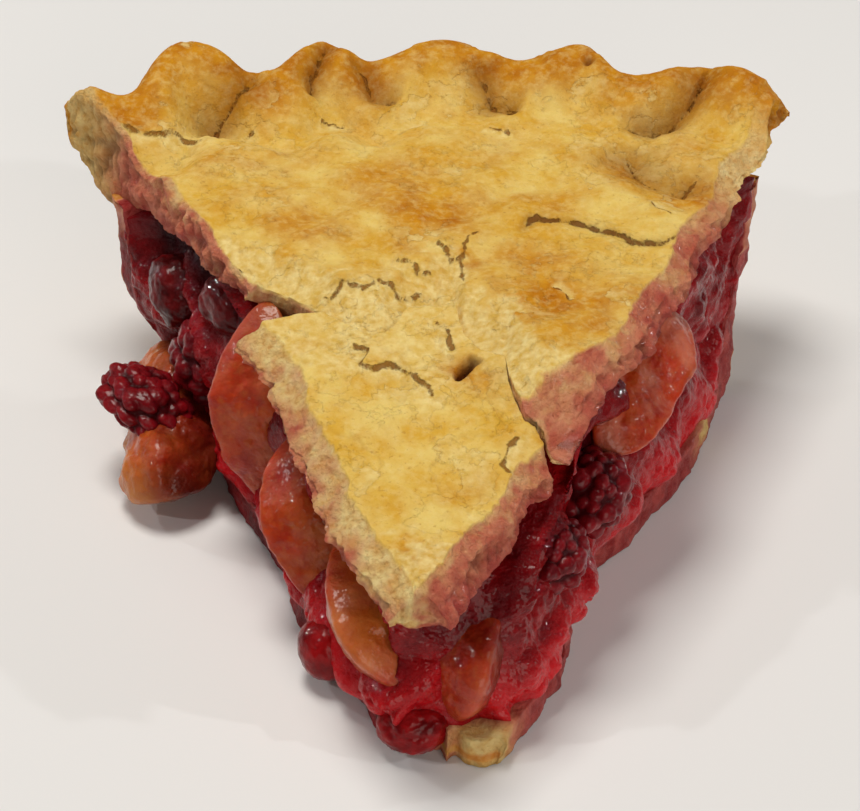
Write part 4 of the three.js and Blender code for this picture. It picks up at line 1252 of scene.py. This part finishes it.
# %% Berries
def berry(name, at, size, turn, tilt, material, beads=0, dents=0.05):
    """A ball stretched to three half sizes; beads makes it the outline of touching balls."""
    rows, columns = int(90 * FINE), int(130 * FINE)
    v = np.linspace(0, math.pi, rows)[:, None]
    h = np.linspace(0, 2 * math.pi, columns, endpoint=False)[None, :]
    d = xyz(np.sin(v) * np.cos(h), np.sin(v) * np.sin(h), np.cos(v))
    deep = np.zeros(d.shape[:2])
    r = 1 + dents * 3 * fractal(d * 3 + at[0], 2.6, 4, 0.55, 121)
    if beads:
        n = np.arange(beads)
        up = 1 - (2 * n + 1) / beads
        turn_by = n * 2.39996 + 0.4 * np.sin(n * 5.1)
        seeds = np.stack([np.sqrt(1 - up**2) * np.cos(turn_by),
                          np.sqrt(1 - up**2) * np.sin(turn_by), up], -1)  # fmt: skip
        size_of = 0.21 + 0.05 * np.sin(n * 3.7)
        along = d @ seeds.T * 0.8
        inside = size_of**2 - 0.64 + along**2
        hit = np.where(inside > 0, along + np.sqrt(np.clip(inside, 0, None)), 0.72)
        mush = 1 + 2.2 * dents * fractal(d * 3 + at[1], 2.2, 4, 0.6, 122)
        r = np.maximum(hit.max(-1), 0.86) * mush
        # painted shade in the crevices between the drupelets
        deep = ease((0.95 - hit.max(-1)) / 0.12)
    p = d * r[..., None] * np.array(size)
    a, b = math.radians(tilt), math.radians(turn)
    x, y, z = np.moveaxis(p, -1, 0)
    y, z = y * math.cos(a) - z * math.sin(a), y * math.sin(a) + z * math.cos(a)
    p = xyz(x * math.cos(b) - y * math.sin(b), x * math.sin(b) + y * math.cos(b), z)
    p = p + np.array(at)
    p[..., 2] = np.maximum(p[..., 2], 0.05)
    return make_object(name, p, ring_faces(rows, columns), {"deep": deep}, material)


for name, at, size, turn, tilt, material, beads in (
    ("cherry_left", (-37.6, 80.2, 21.6), (4.4, 5.6, 5), 24, 0, DARK_CHERRY, 0),
    ("cherry_dark", (-28.6, 69.6, 26), (5.4, 6.4, 5.1), 24, 0, DARK_CHERRY, 0),
    ("cherry_tip", (-6.7, 8.1, 3.9), (4.6, 4.2, 3.7), 10, 0, CHERRY, 0),
    ("raspberry_left", (-32.4, 71.4, 15.6), (6.4, 7, 6.2), 20, 10, RASPBERRY, 84),
    ("raspberry_right", (16.4, 35.6, 19.5), (5.7, 6.5, 5.3), -24, 10, RASPBERRY, 74),
    ("raspberry_right_front", (10.6, 24.4, 18), (5.1, 6.1, 5.1), -24, -10, RASPBERRY, 74),
    ("raspberry_squashed", (-42, 66.6, 11.8), (5.6, 7.0, 3.8), 42, 16, RASPBERRY, 84),
):
    soft = 0.11 if name == "raspberry_squashed" else 0.08
    dress(berry(name, at, size, turn, tilt, material, beads, soft), [name])

drop = berry("juice_drop", (-17.4, 21.6, 4.6), (3.9, 4.3, 4.2), 20, 0, CHERRY, 0, 0.03)
dress(drop, [])

# %% [markdown]
# ## Floor, light and camera
#
# The floor is a plain pale sheet. One wide soft light hangs above on the left, as a ceiling
# panel would, and a weaker one in front on the right opens the shadows under the lid. Four
# small lamps round the slice give the wet fruit its sharp glints. The camera stands where the
# photograph was taken from: 35 degrees above the table, 400 mm from the middle of the slice.

# %% Floor and lights
def floor_material():
    """A plain matt sheet of pale card."""
    m = new_material("pale_card_sheet")
    return finish(m, Base_Color=linear("#e4e4e4"), Roughness=0.8)


HALF = 3.0  # metres from the middle of the floor to its edge
floor_mesh = bpy.data.meshes.new("floor")
floor_mesh.from_pydata(
    [(-HALF, -HALF, 0), (HALF, -HALF, 0), (HALF, HALF, 0), (-HALF, HALF, 0)], [], [(0, 1, 2, 3)]
)
floor_mesh.materials.append(floor_material())
floor = bpy.data.objects.new("floor", floor_mesh)
floor.location.z = -0.0002
bpy.context.scene.collection.objects.link(floor)


def area_light(name, place, size, power, colour="#ffffff"):
    """A square light of a size in metres and a power in watts that faces the slice."""
    data = bpy.data.lights.new(name, "AREA")
    data.size = size
    data.energy = power
    data.color = linear(colour)[:3]
    obj = bpy.data.objects.new(name, data)
    obj.location = place
    direction = np.array([0, 0, 0.02]) - np.array(place, float)
    obj.rotation_euler = Vector(direction).to_track_quat("-Z", "Y").to_euler()
    bpy.context.scene.collection.objects.link(obj)


area_light("ceiling_panel", (-0.15, 0.12, 0.8), 0.3, 4.7, "#fffaf2")
area_light("front_fill", (0.25, -0.75, 0.28), 0.5, 2.4, "#fff6ec")
for name, place in (
    ("glint_left", (-0.5, -0.2, 0.4)), ("glint_right", (0.5, -0.2, 0.35)),
    ("glint_back_left", (-0.5, 0.28, 0.28)), ("glint_back_right", (0.5, 0.3, 0.28)),
):  # fmt: skip
    area_light(name, place, 0.018, 0.5)

world = bpy.data.worlds.new("soft_room")
bpy.context.scene.world = world
world.use_nodes = True
room = world.node_tree.nodes["Background"].inputs
room["Color"].default_value = linear("#f2ece4")
room["Strength"].default_value = 0.08

# %% Camera
ELEVATION, AZIMUTH, ROLL = math.radians(35), math.radians(-4.5), math.radians(3)
AIM = np.array([-2.68, 61.4, 15.0])
back = np.array([
    math.sin(AZIMUTH) * math.cos(ELEVATION), -math.cos(AZIMUTH) * math.cos(ELEVATION),
    math.sin(ELEVATION),
])  # fmt: skip
right = np.array([math.cos(AZIMUTH), math.sin(AZIMUTH), 0.0])
up = np.cross(back, right)
right, up = (
    right * math.cos(ROLL) + up * math.sin(ROLL),
    up * math.cos(ROLL) - right * math.sin(ROLL),
)
camera_data = bpy.data.cameras.new("camera")
camera_data.sensor_fit = "HORIZONTAL"
camera_data.sensor_width = 36.0
camera_data.lens = 36.0 * 2893.57 / 860
camera_data.clip_start, camera_data.clip_end = 0.01, 20
camera = bpy.data.objects.new("camera", camera_data)
place = (AIM + back * 400 - [0, FRAME_Y, 0]) / 1000
rows = [[*(float(v[n]) for v in (right, up, back)), float(place[n])] for n in range(3)]
camera.matrix_world = Matrix([*rows, [0, 0, 0, 1]])
bpy.context.scene.collection.objects.link(camera)
bpy.context.scene.camera = camera
bpy.context.scene.view_settings.view_transform = "Standard"
